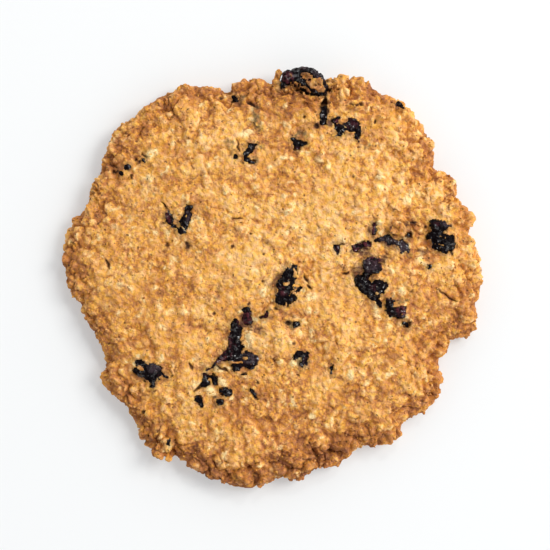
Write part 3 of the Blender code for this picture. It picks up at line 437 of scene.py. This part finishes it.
def rim_distance(places):
    """How far inside the biscuit's own outline each point is, in millimetres."""
    outline, _ = vertex_arrays(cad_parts["dough"].data)
    bearing = np.degrees(np.arctan2(outline[:, 1], outline[:, 0])) % 360.0
    widest = np.zeros(RIM_SECTORS)
    sector = (bearing / 360.0 * RIM_SECTORS).astype(int) % RIM_SECTORS
    np.maximum.at(widest, sector, np.hypot(outline[:, 0], outline[:, 1]))
    turns = (np.arange(RIM_SECTORS) + 0.5) * 360.0 / RIM_SECTORS
    point_bearing = np.degrees(np.arctan2(places[:, 1], places[:, 0])) % 360.0
    edge = np.interp(point_bearing, turns, widest, period=360.0)
    return edge - np.hypot(places[:, 0], places[:, 1])


def berry_distance(places, reach):
    """How far each point is from the nearest cranberry, up to reach, in millimetres."""
    tree = fruit_tree()
    distances = np.full(len(places), reach)
    for index, place in enumerate(places):
        found = tree.find_nearest(Vector(place * MM), reach * MM)
        if found[0] is not None:
            distances[index] = found[3] / MM
    return distances


def dough_relief(places, normals):
    """How far the crumb stands out at each point, and the shares that colour it."""
    rim = ramp(rim_distance(places), RIM_BAND[1], RIM_BAND[0])
    berry = berry_distance(places, FRUIT_NEAR)
    patch = lattice_noise(places, 8.0, 31)
    middle_x, middle_y, reach_x, reach_y = SMOOTH_SIDE
    apart_x, apart_y = (places[:, 0] - middle_x) / reach_x, (places[:, 1] - middle_y) / reach_y
    smooth_side = np.exp(-apart_x ** 2 - apart_y ** 2)
    rough = np.clip(1.0 + 0.6 * patch + 0.2 * rim - 0.70 * smooth_side, 0.25, 1.4)
    bent = warped(warped(places, 2.4, 0.7, 41), 0.9, 0.28, 44)
    lump, lump_gap, lump_value = flake_pattern(bent, LUMPS[0], 50, crisp=8.0, tilt=0.45, dome=1.1)
    flake, flake_gap, flake_value = flake_pattern(bent, FLAKES[0], 60, crisp=10.0, tilt=0.6, dome=0.8)
    scrap, _, scrap_value = flake_pattern(bent, SCRAPS[0], 70, crisp=7.0)
    grain = lattice_noise(places, GRAIN[0], 81)
    crease = ramp(lump_gap, 0.12, 0.0) * ramp(lattice_noise(places, 2.6, 85) + 0.3 * rim, 0.1, 0.5)
    seam = ramp(flake_gap, 0.16, 0.0) * ramp(lattice_noise(places, 1.7, 86) + 0.3 * rim, 0.15, 0.6)
    # Lumps, flakes and scraps, taller towards the rim; creases and seams sink between some of them.
    rise = height_at(LUMPS, rim) * rough * (1.5 * lump - 0.7 * crease)
    rise += height_at(FLAKES, rim) * rough * (1.6 * flake - 1.1 * seam)
    rise += height_at(SCRAPS, rim) * 1.4 * scrap
    rise += GRAIN[1] * grain
    # Round beads, in clusters.
    _, bead_gap, bead_value = flake_pattern(warped(places, 2.0, 0.5, 101), BEADS[0], 110)
    cluster = 0.40 * lattice_noise(places, 6.0, 121) + 0.30 * rim - 0.35 * smooth_side
    bead = ramp(bead_value + cluster, 0.52, 0.66)
    rise += BEADS[1] * bead * (ramp(bead_gap, 0.0, 0.5) - 0.4)
    # The marks, only on faces that look up; a gain above 1 makes them full nearer their edges.
    top = ramp(normals[:, 2], 0.0, 0.4)

    def marked(ovals, waver, soft, gain=1.0):
        return np.minimum(gain * within(places, ovals, waver, soft), 1.0) * top

    crack = marked(CRACKS, 0.35, 0.15, 1.7)
    pit = marked(PITS, 0.25, 0.15, 1.5)
    knob = marked(KNOBS, 0.6, 0.5)
    oat = marked(OATS, 0.5, 0.3)
    rise += OAT_RISE * oat - CRACK_DEPTH * crack - PIT_DEPTH * pit + knob * (KNOB_RISE + 1.1 * flake)
    rise *= ramp(places[:, 2], BASE_SKIN, 3.0 * BASE_SKIN) * ramp(normals[:, 2], -0.6, 0.7) ** 0.5

    # How baked it is, with painted light and shade from TONES, the beads and the relief's height.
    tone = np.zeros(len(places))
    for x, y, radius, strength in TONES:
        apart = np.hypot(places[:, 0] - x, places[:, 1] - y) / radius
        tone += strength * np.exp(-apart * apart)
    tone += 0.42 * lattice_noise(places, 11.0, 91) + 0.36 * lattice_noise(places, 4.5, 92)
    under = ramp(normals[:, 2], 0.1, -0.6)
    toast_and_shade = BAKE + BAKE_RIM * rim + BAKE_UNDER * under + BAKE_KNOB * knob + TONE_AND_PAINTED_LIGHT * tone
    toast_and_shade += BAKE_LUMP * (lump_value - 0.5) + BAKE_FLAKE * (flake_value - 0.5)
    toast_and_shade += BAKE_SCRAP * (scrap_value - 0.5)
    # Painted light and shade on the beads: paler in their middles, browner round their edges.
    toast_and_shade -= bead * (0.34 * ramp(bead_gap, 0.05, 0.45) - 0.16)
    # Painted light and shade: raised crumb is painted paler, low crumb browner.
    toast_and_shade += PAINTED_SHADE_BY_HEIGHT * np.clip(rise, -0.35, 0.35) * (1.0 - 0.5 * rim)
    # The other colours: pale oats, painted shade in the creases and seams, and stains round the fruit, some
    # of them painted shadow.
    pale = ramp(flake_value, 0.15, 0.04) + ramp(scrap_value, 0.18, 0.07) * ramp(flake_value, 0.7, 0.5)
    pale = np.minimum(pale, 1.0) * ramp(rise, -0.12, 0.05) * (1.0 - 0.30 * rim)
    pale = np.maximum(pale, oat)
    hollow_shade = np.maximum(crease, 0.8 * seam)
    stain = 0.6 * ramp(berry + 0.5 * lattice_noise(places, 1.6, 95), 1.2, 0.1)
    stain = np.maximum(stain, marked(OLIVE_MARKS, 0.6, 0.6, 1.5))
    # Juice stains, and painted shadow beside the knob and beside the middle berry.
    wine = marked(JUICE_AND_SHADOW_MARKS, 0.6, 0.6, 1.5)
    shares = {"toast_and_shade": toast_and_shade, "pale": pale, "hollow_shade": hollow_shade, "stain": stain, "wine": wine}
    return rise, {**shares, "dark": np.maximum(crack, pit)}


def below_fruit(places):
    """The places, lowered wherever raised crumb would hide a cranberry."""
    tree = fruit_tree()
    lowered = places.copy()
    for index, (x, y, z) in enumerate(places):
        found = seen_from_above(tree, x, y)[0] if z > LOWEST_FRUIT else None
        if found is not None:
            lowered[index, 2] = min(z, found.z / MM - FRUIT_PROUD)
    return lowered


def without_base(piece):
    """Swap the flat base's many small facets for one face."""
    work = bmesh.new()
    work.from_mesh(piece.data)
    near_floor = 0.5 * BASE_SKIN * MM
    flat = [face for face in work.faces if all(vertex.co.z < near_floor for vertex in face.verts)]
    bmesh.ops.delete(work, geom=flat, context="FACES")
    for vertex in work.verts:
        if vertex.is_boundary:
            vertex.co.z = 0.0
    border = [edge for edge in work.edges if edge.is_boundary]
    bmesh.ops.holes_fill(work, edges=border, sides=0)
    bmesh.ops.triangulate(work, faces=[face for face in work.faces if len(face.verts) > 4])
    work.to_mesh(piece.data)
    work.free()


def dough_piece():
    """The baked dough: the solid's form with lumps, flakes, beads, grain and marks raised on it."""
    piece = remeshed_copy("dough", "dough_crumb", DOUGH_VOXEL)
    places, _ = vertex_arrays(piece.data)
    low, high = (np.array(corner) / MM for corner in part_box("dough"))
    place_vertices(piece.data, np.clip(softened(piece.data, places, DOUGH_SOFTEN), low, high))
    without_base(piece)
    places, normals = vertex_arrays(piece.data)
    rise, shares = dough_relief(places, normals)
    place_vertices(piece.data, below_fruit(np.clip(places + normals * rise[:, None], low, high)))
    for name, values in shares.items():
        store(piece.data, name, values)
    facets = sum(len(face.vertices) - 2 for face in piece.data.polygons)
    applied(piece, "DECIMATE", ratio=DOUGH_FACETS / facets)
    return piece


# --- The cranberries ---------------------------------------------------------------------------------

def berry_piece(node):
    """One dried cranberry: the solid's form, a little swollen, its skin drawn into deep folds."""
    piece = remeshed_copy(node, node + "_skin", BERRY_VOXEL)
    places, _ = vertex_arrays(piece.data)
    place_vertices(piece.data, softened(piece.data, places, BERRY_SOFTEN))
    places, normals = vertex_arrays(piece.data)
    bent = warped(places, 1.3, 0.7, 141)
    folds = np.abs(lattice_noise(bent, WRINKLES[0], 151))
    creases = np.abs(lattice_noise(bent, CREASES[0], 161))
    # Both noises are near 0 along lines, and the skin is drawn in there.
    rise = BERRY_SWELL + SWELLS[1] * lattice_noise(places, SWELLS[0], 145)
    rise += WRINKLES[1] * (np.minimum(folds, 0.45) - 0.45)
    rise += CREASES[1] * (np.minimum(creases, 0.5) - 0.3)
    low, high = (np.array(corner) / MM for corner in CAD_BOX)
    places = np.clip(places + normals * rise[:, None], low, high)
    place_vertices(piece.data, places)
    store(piece.data, "wine", within(places, WINE_SKIN, 0.5, 0.4))
    store(piece.data, "bloom", within(places, BLOOM, 0.5, 0.4))
    return piece


# --- Dough over the berries --------------------------------------------------------------------------

def height_map(tree, xs, ys, missing):
    """The highest surface under each point of a grid, in millimetres."""
    heights = np.full((len(ys), len(xs)), missing)
    for row, y in enumerate(ys):
        for column, x in enumerate(xs):
            place = seen_from_above(tree, x, y)[0]
            if place is not None:
                heights[row, column] = place.z / MM
    return heights


def neighbours(grid):
    """The grid shifted one cell each way, edges repeated."""
    padded = np.pad(grid, 1, mode="edge")
    rows, columns = grid.shape
    steps = ((1, 2), (1, 0), (2, 1), (0, 1))
    return [padded[row:row + rows, column:column + columns] for row, column in steps]


def cells_from(mask, reach):
    """How many cells each cell is from the mask, up to reach."""
    away = np.where(mask, 0, reach)
    for _ in range(reach):
        away = np.minimum(away, np.minimum.reduce(neighbours(away)) + 1)
    return away


def film_piece(dough, berries):
    """Thin dough that has crept over the berries' edges and lies on their tops."""
    low, high = (np.array(corner) / MM for corner in CAD_BOX)
    xs = np.arange(low[0], high[0], FILM_GRID)
    ys = np.arange(low[1], high[1], FILM_GRID)
    crust = height_map(surface_tree(dough.data), xs, ys, 0.0)
    skin = height_map(surface_tree(*(berry.data for berry in berries)), xs, ys, -1.0)
    fruit = skin > crust - SUNK_FRUIT
    inside = cells_from(~fruit, INSIDE_CELLS) * FILM_GRID
    outside = cells_from(fruit, OUTSIDE_CELLS) * FILM_GRID
    # The level to lie on: the fruit's or the crust's own, and between them an even slope.
    known = fruit | (outside > POCKET_EDGE)
    level = np.where(fruit, skin, crust)
    for _ in range(POCKET_ROUNDS):
        level = np.where(known, level, np.mean(neighbours(level), axis=0))
    x_grid, y_grid = np.meshgrid(xs, ys)
    points = np.stack([x_grid.ravel(), y_grid.ravel(), np.zeros(x_grid.size)], axis=1)
    bent = warped(points, 1.2, 0.5, 241)
    lump, _, value = flake_pattern(bent, 1.3, 250, crisp=10.0)
    fine_value = flake_pattern(bent, 0.65, 260, crisp=8.0)[2]
    share = 0.75 * (value - 0.5) + 0.55 * (fine_value - 0.5) + 0.35 * lattice_noise(points, 3.0, 245)
    share = share.reshape(level.shape)
    bumps = (0.25 * lump + 0.08 * lattice_noise(points, 0.5, 246)).reshape(level.shape)
    bias = np.zeros(level.shape)
    for node in sorted(set(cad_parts) - {"dough"}):
        start, end = np.array(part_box(node)) / MM
        small = min(end[:2] - start[:2]) < SMALL_BERRY[0]
        over = (x_grid > start[0]) & (x_grid < end[0]) & (y_grid > start[1]) & (y_grid < end[1])
        bias[over] = COVER.get(node, SMALL_BERRY[1] if small else 0.0)
    # Cover above 0 is dough: along the fruit's edge, on the marks, and less out over the crust.
    crept = within(points, CREPT, 0.5, 0.5).reshape(level.shape)
    cover = 0.40 * share + bias + 0.46 * ramp(inside, 0.5, 0.0) - 0.27
    cover = np.maximum(cover, 1.1 * (crept - 0.5) + 0.45 * share)
    cover -= 0.9 * ramp(outside + 0.5 * share, 0.4 * FILM_REACH, FILM_REACH)
    # Dough stands on its level, and its edges run down under it.
    lift = np.where(fruit, 0.10 + 0.6 * np.minimum(cover, 0.35) + bumps, 0.04 + 0.4 * bumps)
    film = level + np.where(cover > 0.0, lift, 2.0 * np.maximum(cover, -0.3))
    steepest = np.maximum.reduce([np.abs(level - shifted) for shifted in neighbours(level)])
    kept = (cover > -0.12) & (outside < FILM_REACH) & (level > FILM_LOWEST)
    kept &= steepest < np.where(crust > FILM_LOWEST, *STEEPEST)
    kept &= np.logical_or.reduce(neighbours(kept))
    film = np.minimum(film, high[2])
    piece = grid_slab("dough_film", xs, ys, film, kept, FILM_DEPTH)
    for name, values in dough_relief(*vertex_arrays(piece.data))[1].items():
        store(piece.data, name, values)
    return piece


def grid_slab(name, xs, ys, heights, kept, depth):
    """A closed slab over the grid's kept cells, its top at the heights."""
    corner_index = {}
    tops = []
    faces = []

    def corner(row, column):
        if (row, column) not in corner_index:
            corner_index[row, column] = len(tops)
            tops.append((xs[column], ys[row], heights[row, column]))
        return corner_index[row, column]

    cells = kept[:-1, :-1] & kept[1:, :-1] & kept[:-1, 1:] & kept[1:, 1:]
    for row, column in np.argwhere(cells):
        ring = ((row, column), (row, column + 1), (row + 1, column + 1), (row + 1, column))
        faces.append([corner(*place) for place in ring])
    work = bmesh.new()
    verts = [work.verts.new(Vector(place) * MM) for place in tops]
    for face in faces:
        work.faces.new([verts[index] for index in face])
    grown = bmesh.ops.extrude_face_region(work, geom=work.faces[:])
    lowered = [item for item in grown["geom"] if isinstance(item, bmesh.types.BMVert)]
    for vertex in lowered:
        vertex.co.z -= depth * MM
    bmesh.ops.recalc_face_normals(work, faces=work.faces[:])
    mesh = bpy.data.meshes.new(name)
    work.to_mesh(mesh)
    work.free()
    return new_piece(name, mesh)


# --- Loose crumbs ------------------------------------------------------------------------------------

def crumb_shape(draw):
    """A small uneven block, about one unit across: the hull of a few random points in a ball."""
    work = bmesh.new()
    for _ in range(CRUMB_CORNERS):
        place = Vector((draw.gauss(0, 1), draw.gauss(0, 1), draw.gauss(0, 1))).normalized()
        work.verts.new(place * draw.uniform(0.38, 0.55))
    hull = bmesh.ops.convex_hull(work, input=work.verts[:])
    spare = [item for item in hull["geom_interior"] if isinstance(item, bmesh.types.BMVert)]
    bmesh.ops.delete(work, geom=spare, context="VERTS")
    work.verts.index_update()
    corners = np.array([vertex.co for vertex in work.verts])
    faces = [[vertex.index for vertex in face.verts] for face in work.faces]
    work.free()
    return corners, faces


def crumbs_piece(surface):
    """Many small uneven crumbs lying on a surface, thickest near the rim, joined into one mesh."""
    draw = random.Random(SEED + 1)
    shortest, longest = CRUMB_SIZES
    shapes = [crumb_shape(draw) for _ in range(CRUMB_SHAPES)]
    low, high = (np.array(corner) / MM for corner in CAD_BOX)
    reach = 0.5 * (high[0] - low[0])
    corners = []
    faces = []
    values = []
    made = 0
    total = 0
    for _ in range(40 * CRUMB_COUNT):
        if made == CRUMB_COUNT:
            break
        turn = draw.uniform(0.0, math.tau)
        radius = reach * math.sqrt(draw.random())
        place, normal = seen_from_above(surface, radius * math.cos(turn), radius * math.sin(turn))
        if place is None:
            continue
        chance = 1.0 if math.hypot(place.x, place.y) > CRUMB_RIM * MM else CRUMB_CROWN
        if draw.random() >= chance:
            continue
        size = shortest + (longest - shortest) * draw.random() ** 2
        height = size * CRUMB_FLATNESS
        scale = np.array([size * draw.uniform(0.8, 1.2), size * draw.uniform(0.6, 1.0), height])
        spin = Matrix.Rotation(draw.uniform(0.0, math.tau), 3, "Z")
        tip = Matrix.Rotation(draw.uniform(-0.3, 0.3), 3, "X")
        lie = np.array(normal.to_track_quat("Z", "Y").to_matrix() @ tip @ spin)
        shape, shape_faces = draw.choice(shapes)
        grown = (shape * scale) @ lie.T + np.array(place) / MM + np.array(normal) * height * CRUMB_LIFT
        if (grown < low).any() or (grown > high).any():
            continue
        faces += [[total + corner for corner in face] for face in shape_faces]
        total += len(shape)
        corners.append(grown)
        values.append(np.full(len(shape), draw.random()))
        made += 1
    mesh = bpy.data.meshes.new("crumbs")
    mesh.from_pydata((np.concatenate(corners) * MM).tolist(), [], faces)
    store(mesh, "toast_and_shade", 0.10 + 0.8 * np.concatenate(values))
    return new_piece("crumbs", mesh)


# --- Materials ---------------------------------------------------------------------------------------

class Nodes:
    """A short way to write one material's nodes."""

    def __init__(self, name):
        self.material = bpy.data.materials.new(name)
        self.material.use_nodes = True
        self.tree = self.material.node_tree
        self.shader = self.tree.nodes["Principled BSDF"]

    def add(self, kind, **settings):
        """A new node with its settings."""
        node = self.tree.nodes.new(kind)
        for key, value in settings.items():
            setattr(node, key, value)
        return node

    def link(self, source, target):
        """Join an output to an input, or set the input to a plain value."""
        if isinstance(source, bpy.types.NodeSocket):
            self.tree.links.new(source, target)
        else:
            target.default_value = source

    def attribute(self, name):
        """One share stored on the mesh."""
        return self.add("ShaderNodeAttribute", attribute_name=name).outputs["Fac"]

    def place(self):
        """The point's own place on the piece."""
        return self.add("ShaderNodeTexCoord").outputs["Object"]

    def noise_outputs(self, width, detail, roughness):
        """The outputs of noise with features about width millimetres wide."""
        node = self.add("ShaderNodeTexNoise")
        self.link(self.place(), node.inputs["Vector"])
        node.inputs["Scale"].default_value = 1.0 / (width * MM)
        node.inputs["Detail"].default_value = detail
        node.inputs["Roughness"].default_value = roughness
        return node.outputs

    def noise(self, width, detail=3.0, roughness=0.55):
        """Noise as one value, 0 to 1, mostly near a half."""
        return self.noise_outputs(width, detail, roughness)["Fac"]

    def bent_place(self, width, reach):
        """The point's place, pushed about by noise."""
        push = self.add("ShaderNodeVectorMath", operation="MULTIPLY_ADD")
        self.link(self.noise_outputs(width, 2.0, 0.5)["Color"], push.inputs[0])
        push.inputs[1].default_value = (reach * MM,) * 3
        self.link(self.place(), push.inputs[2])
        return push.outputs[0]

    def cells(self, width, place):
        """Packed cells: the distance from each one's middle, in cell widths, and a random share for each."""
        node = self.add("ShaderNodeTexVoronoi")
        self.link(place, node.inputs["Vector"])
        node.inputs["Scale"].default_value = 1.0 / (width * MM)
        split = self.add("ShaderNodeSeparateColor")
        self.link(node.outputs["Color"], split.inputs[0])
        return node.outputs["Distance"], split.outputs[0]

    def specks(self, width, radius, share, place):
        """Small spots in a share of the cells: 1 in a spot, 0 outside."""
        distance, value = self.cells(width, place)
        spot = self.ramp(distance, 0.6 * radius, radius, 1.0, 0.0)
        return self.math("MULTIPLY", spot, self.math("LESS_THAN", value, share))

    def grains(self, width, place):
        """Packed round grains: a dome over each, 1 in its middle, and a random share for each."""
        distance, value = self.cells(width, place)
        return self.ramp(distance, 0.05, 0.62, 1.0, 0.0), value

    def math(self, operation, first, second=0.0):
        """Two values joined by an operation."""
        node = self.add("ShaderNodeMath", operation=operation)
        self.link(first, node.inputs[0])
        self.link(second, node.inputs[1])
        return node.outputs[0]

    def total(self, *terms):
        """The sum of values, each with its own weight."""
        result = 0.0
        for weight, value in terms:
            result = self.math("ADD", result, self.math("MULTIPLY", value, weight))
        return result

    def ramp(self, value, low, high, start=0.0, end=1.0):
        """start below low, end above high, smooth between."""
        node = self.add("ShaderNodeMapRange", interpolation_type="SMOOTHSTEP")
        for socket, given in zip(node.inputs, (value, low, high, start, end)):
            self.link(given, socket)
        return node.outputs[0]

    def mix(self, share, first, second, blend="MIX"):
        """Two colours mixed by a share."""
        node = self.add("ShaderNodeMix", data_type="RGBA", clamp_factor=True, blend_type=blend)
        self.link(share, node.inputs[0])
        for socket, colour in ((node.inputs[6], first), (node.inputs[7], second)):
            self.link(colour if isinstance(colour, bpy.types.NodeSocket) else (*colour, 1.0), socket)
        return node.outputs[2]

    def bump(self, height, distance):
        """Fine relief, its full height given in millimetres."""
        node = self.add("ShaderNodeBump")
        node.inputs["Distance"].default_value = distance * MM
        node.inputs["Strength"].default_value = 1.0
        self.link(height, node.inputs["Height"])
        self.link(node.outputs["Normal"], self.shader.inputs["Normal"])


# Colours: the dough's by how far it is baked, then what tints it, then what lies in and on it.
BUTTER = (0.92, 0.52, 0.165)
GOLD = (0.78, 0.37, 0.088)
TOAST = (0.54, 0.210, 0.052)
# BROWN is also the painted shade in the creases and seams.
BROWN = (0.28, 0.098, 0.032)
YOLK = (1.0, 0.58, 0.17)
CARAMEL = (1.0, 0.96, 0.60)        # these two multiply the colour under them
FLOURY = (1.0, 1.03, 1.50)
CREAM = (1.0, 0.76, 0.38)
PIT = (0.10, 0.038, 0.014)
OLIVE = (0.125, 0.098, 0.046)
# JUICE_AND_SHADOW also paints shadow beside the knob and the middle berry.
JUICE_AND_SHADOW = (0.125, 0.050, 0.028)
# CRACK is painted shade in the cracks and pinholes.
CRACK = (0.035, 0.014, 0.008)

# The fruit's: its skin, redder skin, the grey bloom on it and the fine crumb that clings to it.
SKIN_BLACK = (0.004, 0.002, 0.003)
SKIN_WINE = (0.085, 0.019, 0.026)
SKIN_BLOOM = (0.052, 0.034, 0.042)
SKIN_DUST = (0.36, 0.22, 0.10)

# Full height of the fine relief in the materials.
DOUGH_BUMP = 0.30
BERRY_BUMP = 0.40


def dough_material():
    """Baked oat dough: buttery crown, toasted rim, cream oats, dark pits, and stains by the fruit, with
    painted shade in creases, cracks, pits and between grains, and painted shadow by the knob.
    """
    n = Nodes("baked_dough")
    fine = n.noise(0.45, 2.0, 0.6)
    mottle = n.noise(1.7, 4.0, 0.62)
    gritty = n.ramp(n.noise(8.0, 1.0), 0.36, 0.64, 0.45, 1.35)
    dome, shade = n.grains(1.25, n.bent_place(1.6, 1.0))
    # Brownness: the stored share and a finer mottle, through four colours from butter to brown, with painted
    # light and shade on the grains: paler in their middles, browner between them.
    speckle = n.total((0.45, n.math("SUBTRACT", mottle, 0.5)), (1.05, n.math("SUBTRACT", fine, 0.5)),
                      (0.18, n.math("SUBTRACT", 0.5, dome)), (0.15, n.math("SUBTRACT", shade, 0.5)))
    tone = n.math("ADD", n.attribute("toast_and_shade"), n.math("MULTIPLY", speckle, gritty))
    colour = n.mix(n.ramp(tone, 0.0, 0.42), BUTTER, GOLD)
    colour = n.mix(n.ramp(tone, 0.36, 0.78), colour, TOAST)
    colour = n.mix(n.ramp(tone, 0.72, 1.25), colour, BROWN)
    # Yellow patches, and a tint that wanders from warm to floury.
    glow = n.ramp(n.noise(1.5, 3.0, 0.6), 0.53, 0.70, 0.0, 0.85)
    colour = n.mix(n.math("MULTIPLY", glow, n.ramp(tone, 0.3, 0.9, 1.0, 0.2)), colour, YOLK)
    tint = n.mix(n.ramp(n.noise(0.9, 3.0, 0.65), 0.36, 0.64), CARAMEL, FLOURY)
    colour = n.mix(1.0, colour, tint, "MULTIPLY")
    # The stored shares, each broken up by noise, then pinholes, cracks and dark spots. The brown in the
    # creases and seams and the near black in the cracks and pinholes are painted shade, and part of the
    # juice marks is painted shadow.
    pale = n.math("MULTIPLY", n.attribute("pale"), n.ramp(n.noise(0.7, 3.0, 0.65), 0.34, 0.52))
    colour = n.mix(n.math("MULTIPLY", pale, n.ramp(tone, 0.2, 1.0, 1.0, 0.4)), colour, CREAM)
    stain = n.math("MULTIPLY", n.attribute("stain"), n.ramp(n.noise(1.3, 3.0), 0.36, 0.58, 0.15, 1.0))
    colour = n.mix(n.math("MULTIPLY", stain, 0.85), colour, OLIVE)
    # Juice stains, and painted shadow beside the knob and the middle berry.
    wine = n.math("MULTIPLY", n.attribute("wine"), n.ramp(n.noise(1.0, 3.0), 0.36, 0.58, 0.5, 1.0))
    colour = n.mix(wine, colour, JUICE_AND_SHADOW)
    # Painted shade in the creases and seams.
    hollow_shade = n.math("MULTIPLY", n.attribute("hollow_shade"), n.ramp(n.noise(0.9, 2.0), 0.40, 0.62, 0.1, 0.75))
    colour = n.mix(hollow_shade, colour, BROWN)
    dots = n.specks(2.2, 0.14, 0.42, n.bent_place(1.5, 0.8))
    colour = n.mix(n.math("MULTIPLY", dots, 0.8), colour, PIT)
    # Painted shade in the cracks and pinholes.
    colour = n.mix(n.math("MULTIPLY", n.attribute("dark"), 0.9), colour, CRACK)
    spots = n.ramp(n.noise(0.75, 3.0, 0.6), 0.66, 0.70)
    colour = n.mix(n.math("MULTIPLY", spots, 0.85), colour, PIT)
    n.link(colour, n.shader.inputs["Base Color"])
    n.link(n.ramp(fine, 0.3, 0.7, 0.5, 0.8), n.shader.inputs["Roughness"])
    n.shader.inputs["Specular IOR Level"].default_value = 0.18
    height = n.total((0.8, fine), (0.7, n.noise(0.9, 2.0)), (-1.3, spots), (0.8, dome))
    n.bump(height, DOUGH_BUMP)
    return n.material


def berry_material():
    """Dried cranberry skin: near-black wine red, dull in the hollows, glossy in small patches."""
    n = Nodes("cranberry_skin")
    patchy = n.ramp(n.noise(0.9, 3.0, 0.6), 0.40, 0.60)
    wine = n.math("ADD", n.math("MULTIPLY", n.attribute("wine"), patchy),
                  n.ramp(n.noise(2.6, 3.0), 0.56, 0.76, 0.0, 0.5))
    colour = n.mix(wine, SKIN_BLACK, SKIN_WINE)
    bloom = n.math("MULTIPLY", n.attribute("bloom"), n.ramp(patchy, 0.0, 1.0, 0.3, 0.9))
    colour = n.mix(bloom, colour, SKIN_BLOOM)
    dust = n.ramp(n.noise(0.7, 3.0, 0.65), 0.68, 0.73, 0.0, 0.8)
    colour = n.mix(dust, colour, SKIN_DUST)
    n.link(colour, n.shader.inputs["Base Color"])
    gloss = n.ramp(n.noise(0.85, 2.0, 0.55), 0.50, 0.64)
    n.link(n.ramp(gloss, 0.0, 1.0, 0.50, 0.20), n.shader.inputs["Roughness"])
    n.link(n.ramp(gloss, 0.0, 1.0, 0.05, 0.85), n.shader.inputs["Specular IOR Level"])
    n.bump(n.total((1.0, n.noise(0.9, 1.0, 0.5)), (0.3, n.noise(0.45, 0.0))), BERRY_BUMP)
    return n.material


# --- The set -----------------------------------------------------------------------------------------

def add_floor():
    """A plain pale floor under the biscuit."""
    n = Nodes("floor_paper")
    n.shader.inputs["Base Color"].default_value = (*FLOOR_COLOUR, 1.0)
    n.shader.inputs["Roughness"].default_value = 0.9
    n.shader.inputs["Emission Color"].default_value = (*FLOOR_GLOW, 1.0)
    n.shader.inputs["Emission Strength"].default_value = FLOOR_GLOW_STRENGTH
    mesh = bpy.data.meshes.new("floor")
    half = FLOOR_HALF
    corners = [(-half, -half, 0), (half, -half, 0), (half, half, 0), (-half, half, 0)]
    mesh.from_pydata(corners, [], [(0, 1, 2, 3)])
    mesh.materials.append(n.material)
    floor = bpy.data.objects.new("floor", mesh)
    bpy.context.scene.collection.objects.link(floor)


def add_light(name, bearing, elevation, distance, size, power, colour):
    """A square soft light aimed at the biscuit."""
    data = bpy.data.lights.new(name, "AREA")
    data.shape = "SQUARE"
    data.size = size
    data.energy = power
    data.color = colour
    light = bpy.data.objects.new(name, data)
    turn, lift = math.radians(bearing), math.radians(elevation)
    aim = Vector((math.cos(turn) * math.cos(lift), math.sin(turn) * math.cos(lift), math.sin(lift)))
    light.location = aim * distance
    light.rotation_euler = aim.to_track_quat("Z", "Y").to_euler()
    bpy.context.scene.collection.objects.link(light)


def studio_world():
    """Soft light from all round, dimmest overhead and on the side away from the key."""
    world = bpy.data.worlds.new("studio")
    world.use_nodes = True
    tree = world.node_tree
    backdrop = tree.nodes["Background"]
    backdrop.inputs["Color"].default_value = (*SKY_COLOUR, 1.0)
    direction = tree.nodes.new("ShaderNodeTexCoord").outputs["Generated"]
    levels = []
    for towards, span in ((SOFT_SIDE, SKY), (OVERHEAD, DIM_CAP)):
        along = tree.nodes.new("ShaderNodeVectorMath")
        along.operation = "DOT_PRODUCT"
        along.inputs[1].default_value = towards
        level = tree.nodes.new("ShaderNodeMapRange")
        for socket, value in zip(level.inputs[1:5], span):
            socket.default_value = value
        tree.links.new(direction, along.inputs[0])
        tree.links.new(along.outputs["Value"], level.inputs[0])
        levels.append(level.outputs[0])
    both = tree.nodes.new("ShaderNodeMath")
    both.operation = "MULTIPLY"
    for socket, level in zip(both.inputs, levels):
        tree.links.new(level, socket)
    tree.links.new(both.outputs[0], backdrop.inputs["Strength"])
    return world


def add_set():
    """Floor, soft studio light and the camera straight above."""
    scene = bpy.context.scene
    add_floor()
    add_light("key", *KEY)
    add_light("sparkle", *SPARKLE)
    scene.world = studio_world()
    scene.view_settings.view_transform = "Standard"
    camera_data = bpy.data.cameras.new("camera")
    camera_data.lens = LENS
    camera_data.sensor_width = SENSOR
    camera = bpy.data.objects.new("camera", camera_data)
    height = VIEW_WIDTH * LENS / SENSOR * MM + 0.5 * CAD_BOX[1][2]
    camera.location = (LOOK_AT[0] * MM, LOOK_AT[1] * MM, height)
    scene.collection.objects.link(camera)
    scene.camera = camera


# --- Build -------------------------------------------------------------------------------------------

def finish_piece(piece, slot, material, *nodes):
    """Give a piece its material, let it ride on the biscuit and stand for its solids; its slot is not used.
    """
    piece.data.materials.append(material)
    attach(piece, "root")
    if nodes:
        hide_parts(*nodes)


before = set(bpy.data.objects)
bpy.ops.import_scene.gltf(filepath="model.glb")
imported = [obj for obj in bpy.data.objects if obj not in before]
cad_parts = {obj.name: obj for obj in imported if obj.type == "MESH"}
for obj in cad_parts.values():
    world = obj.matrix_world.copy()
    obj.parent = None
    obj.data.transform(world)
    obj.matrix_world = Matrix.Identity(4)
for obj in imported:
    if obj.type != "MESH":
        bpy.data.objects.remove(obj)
CAD_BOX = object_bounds()
add_set()

baked = dough_material()
dough = dough_piece()
finish_piece(dough, "dough", baked, "dough")
berry_skin = berry_material()
berries = []
for node_name in sorted(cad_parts):
    if node_name != "dough":
        berries.append(berry_piece(node_name))
        finish_piece(berries[-1], "cranberry", berry_skin, node_name)
film = film_piece(dough, berries)
finish_piece(film, "dough", baked)
crumbs = crumbs_piece(surface_tree(dough.data, film.data))
finish_piece(crumbs, "dough", baked)
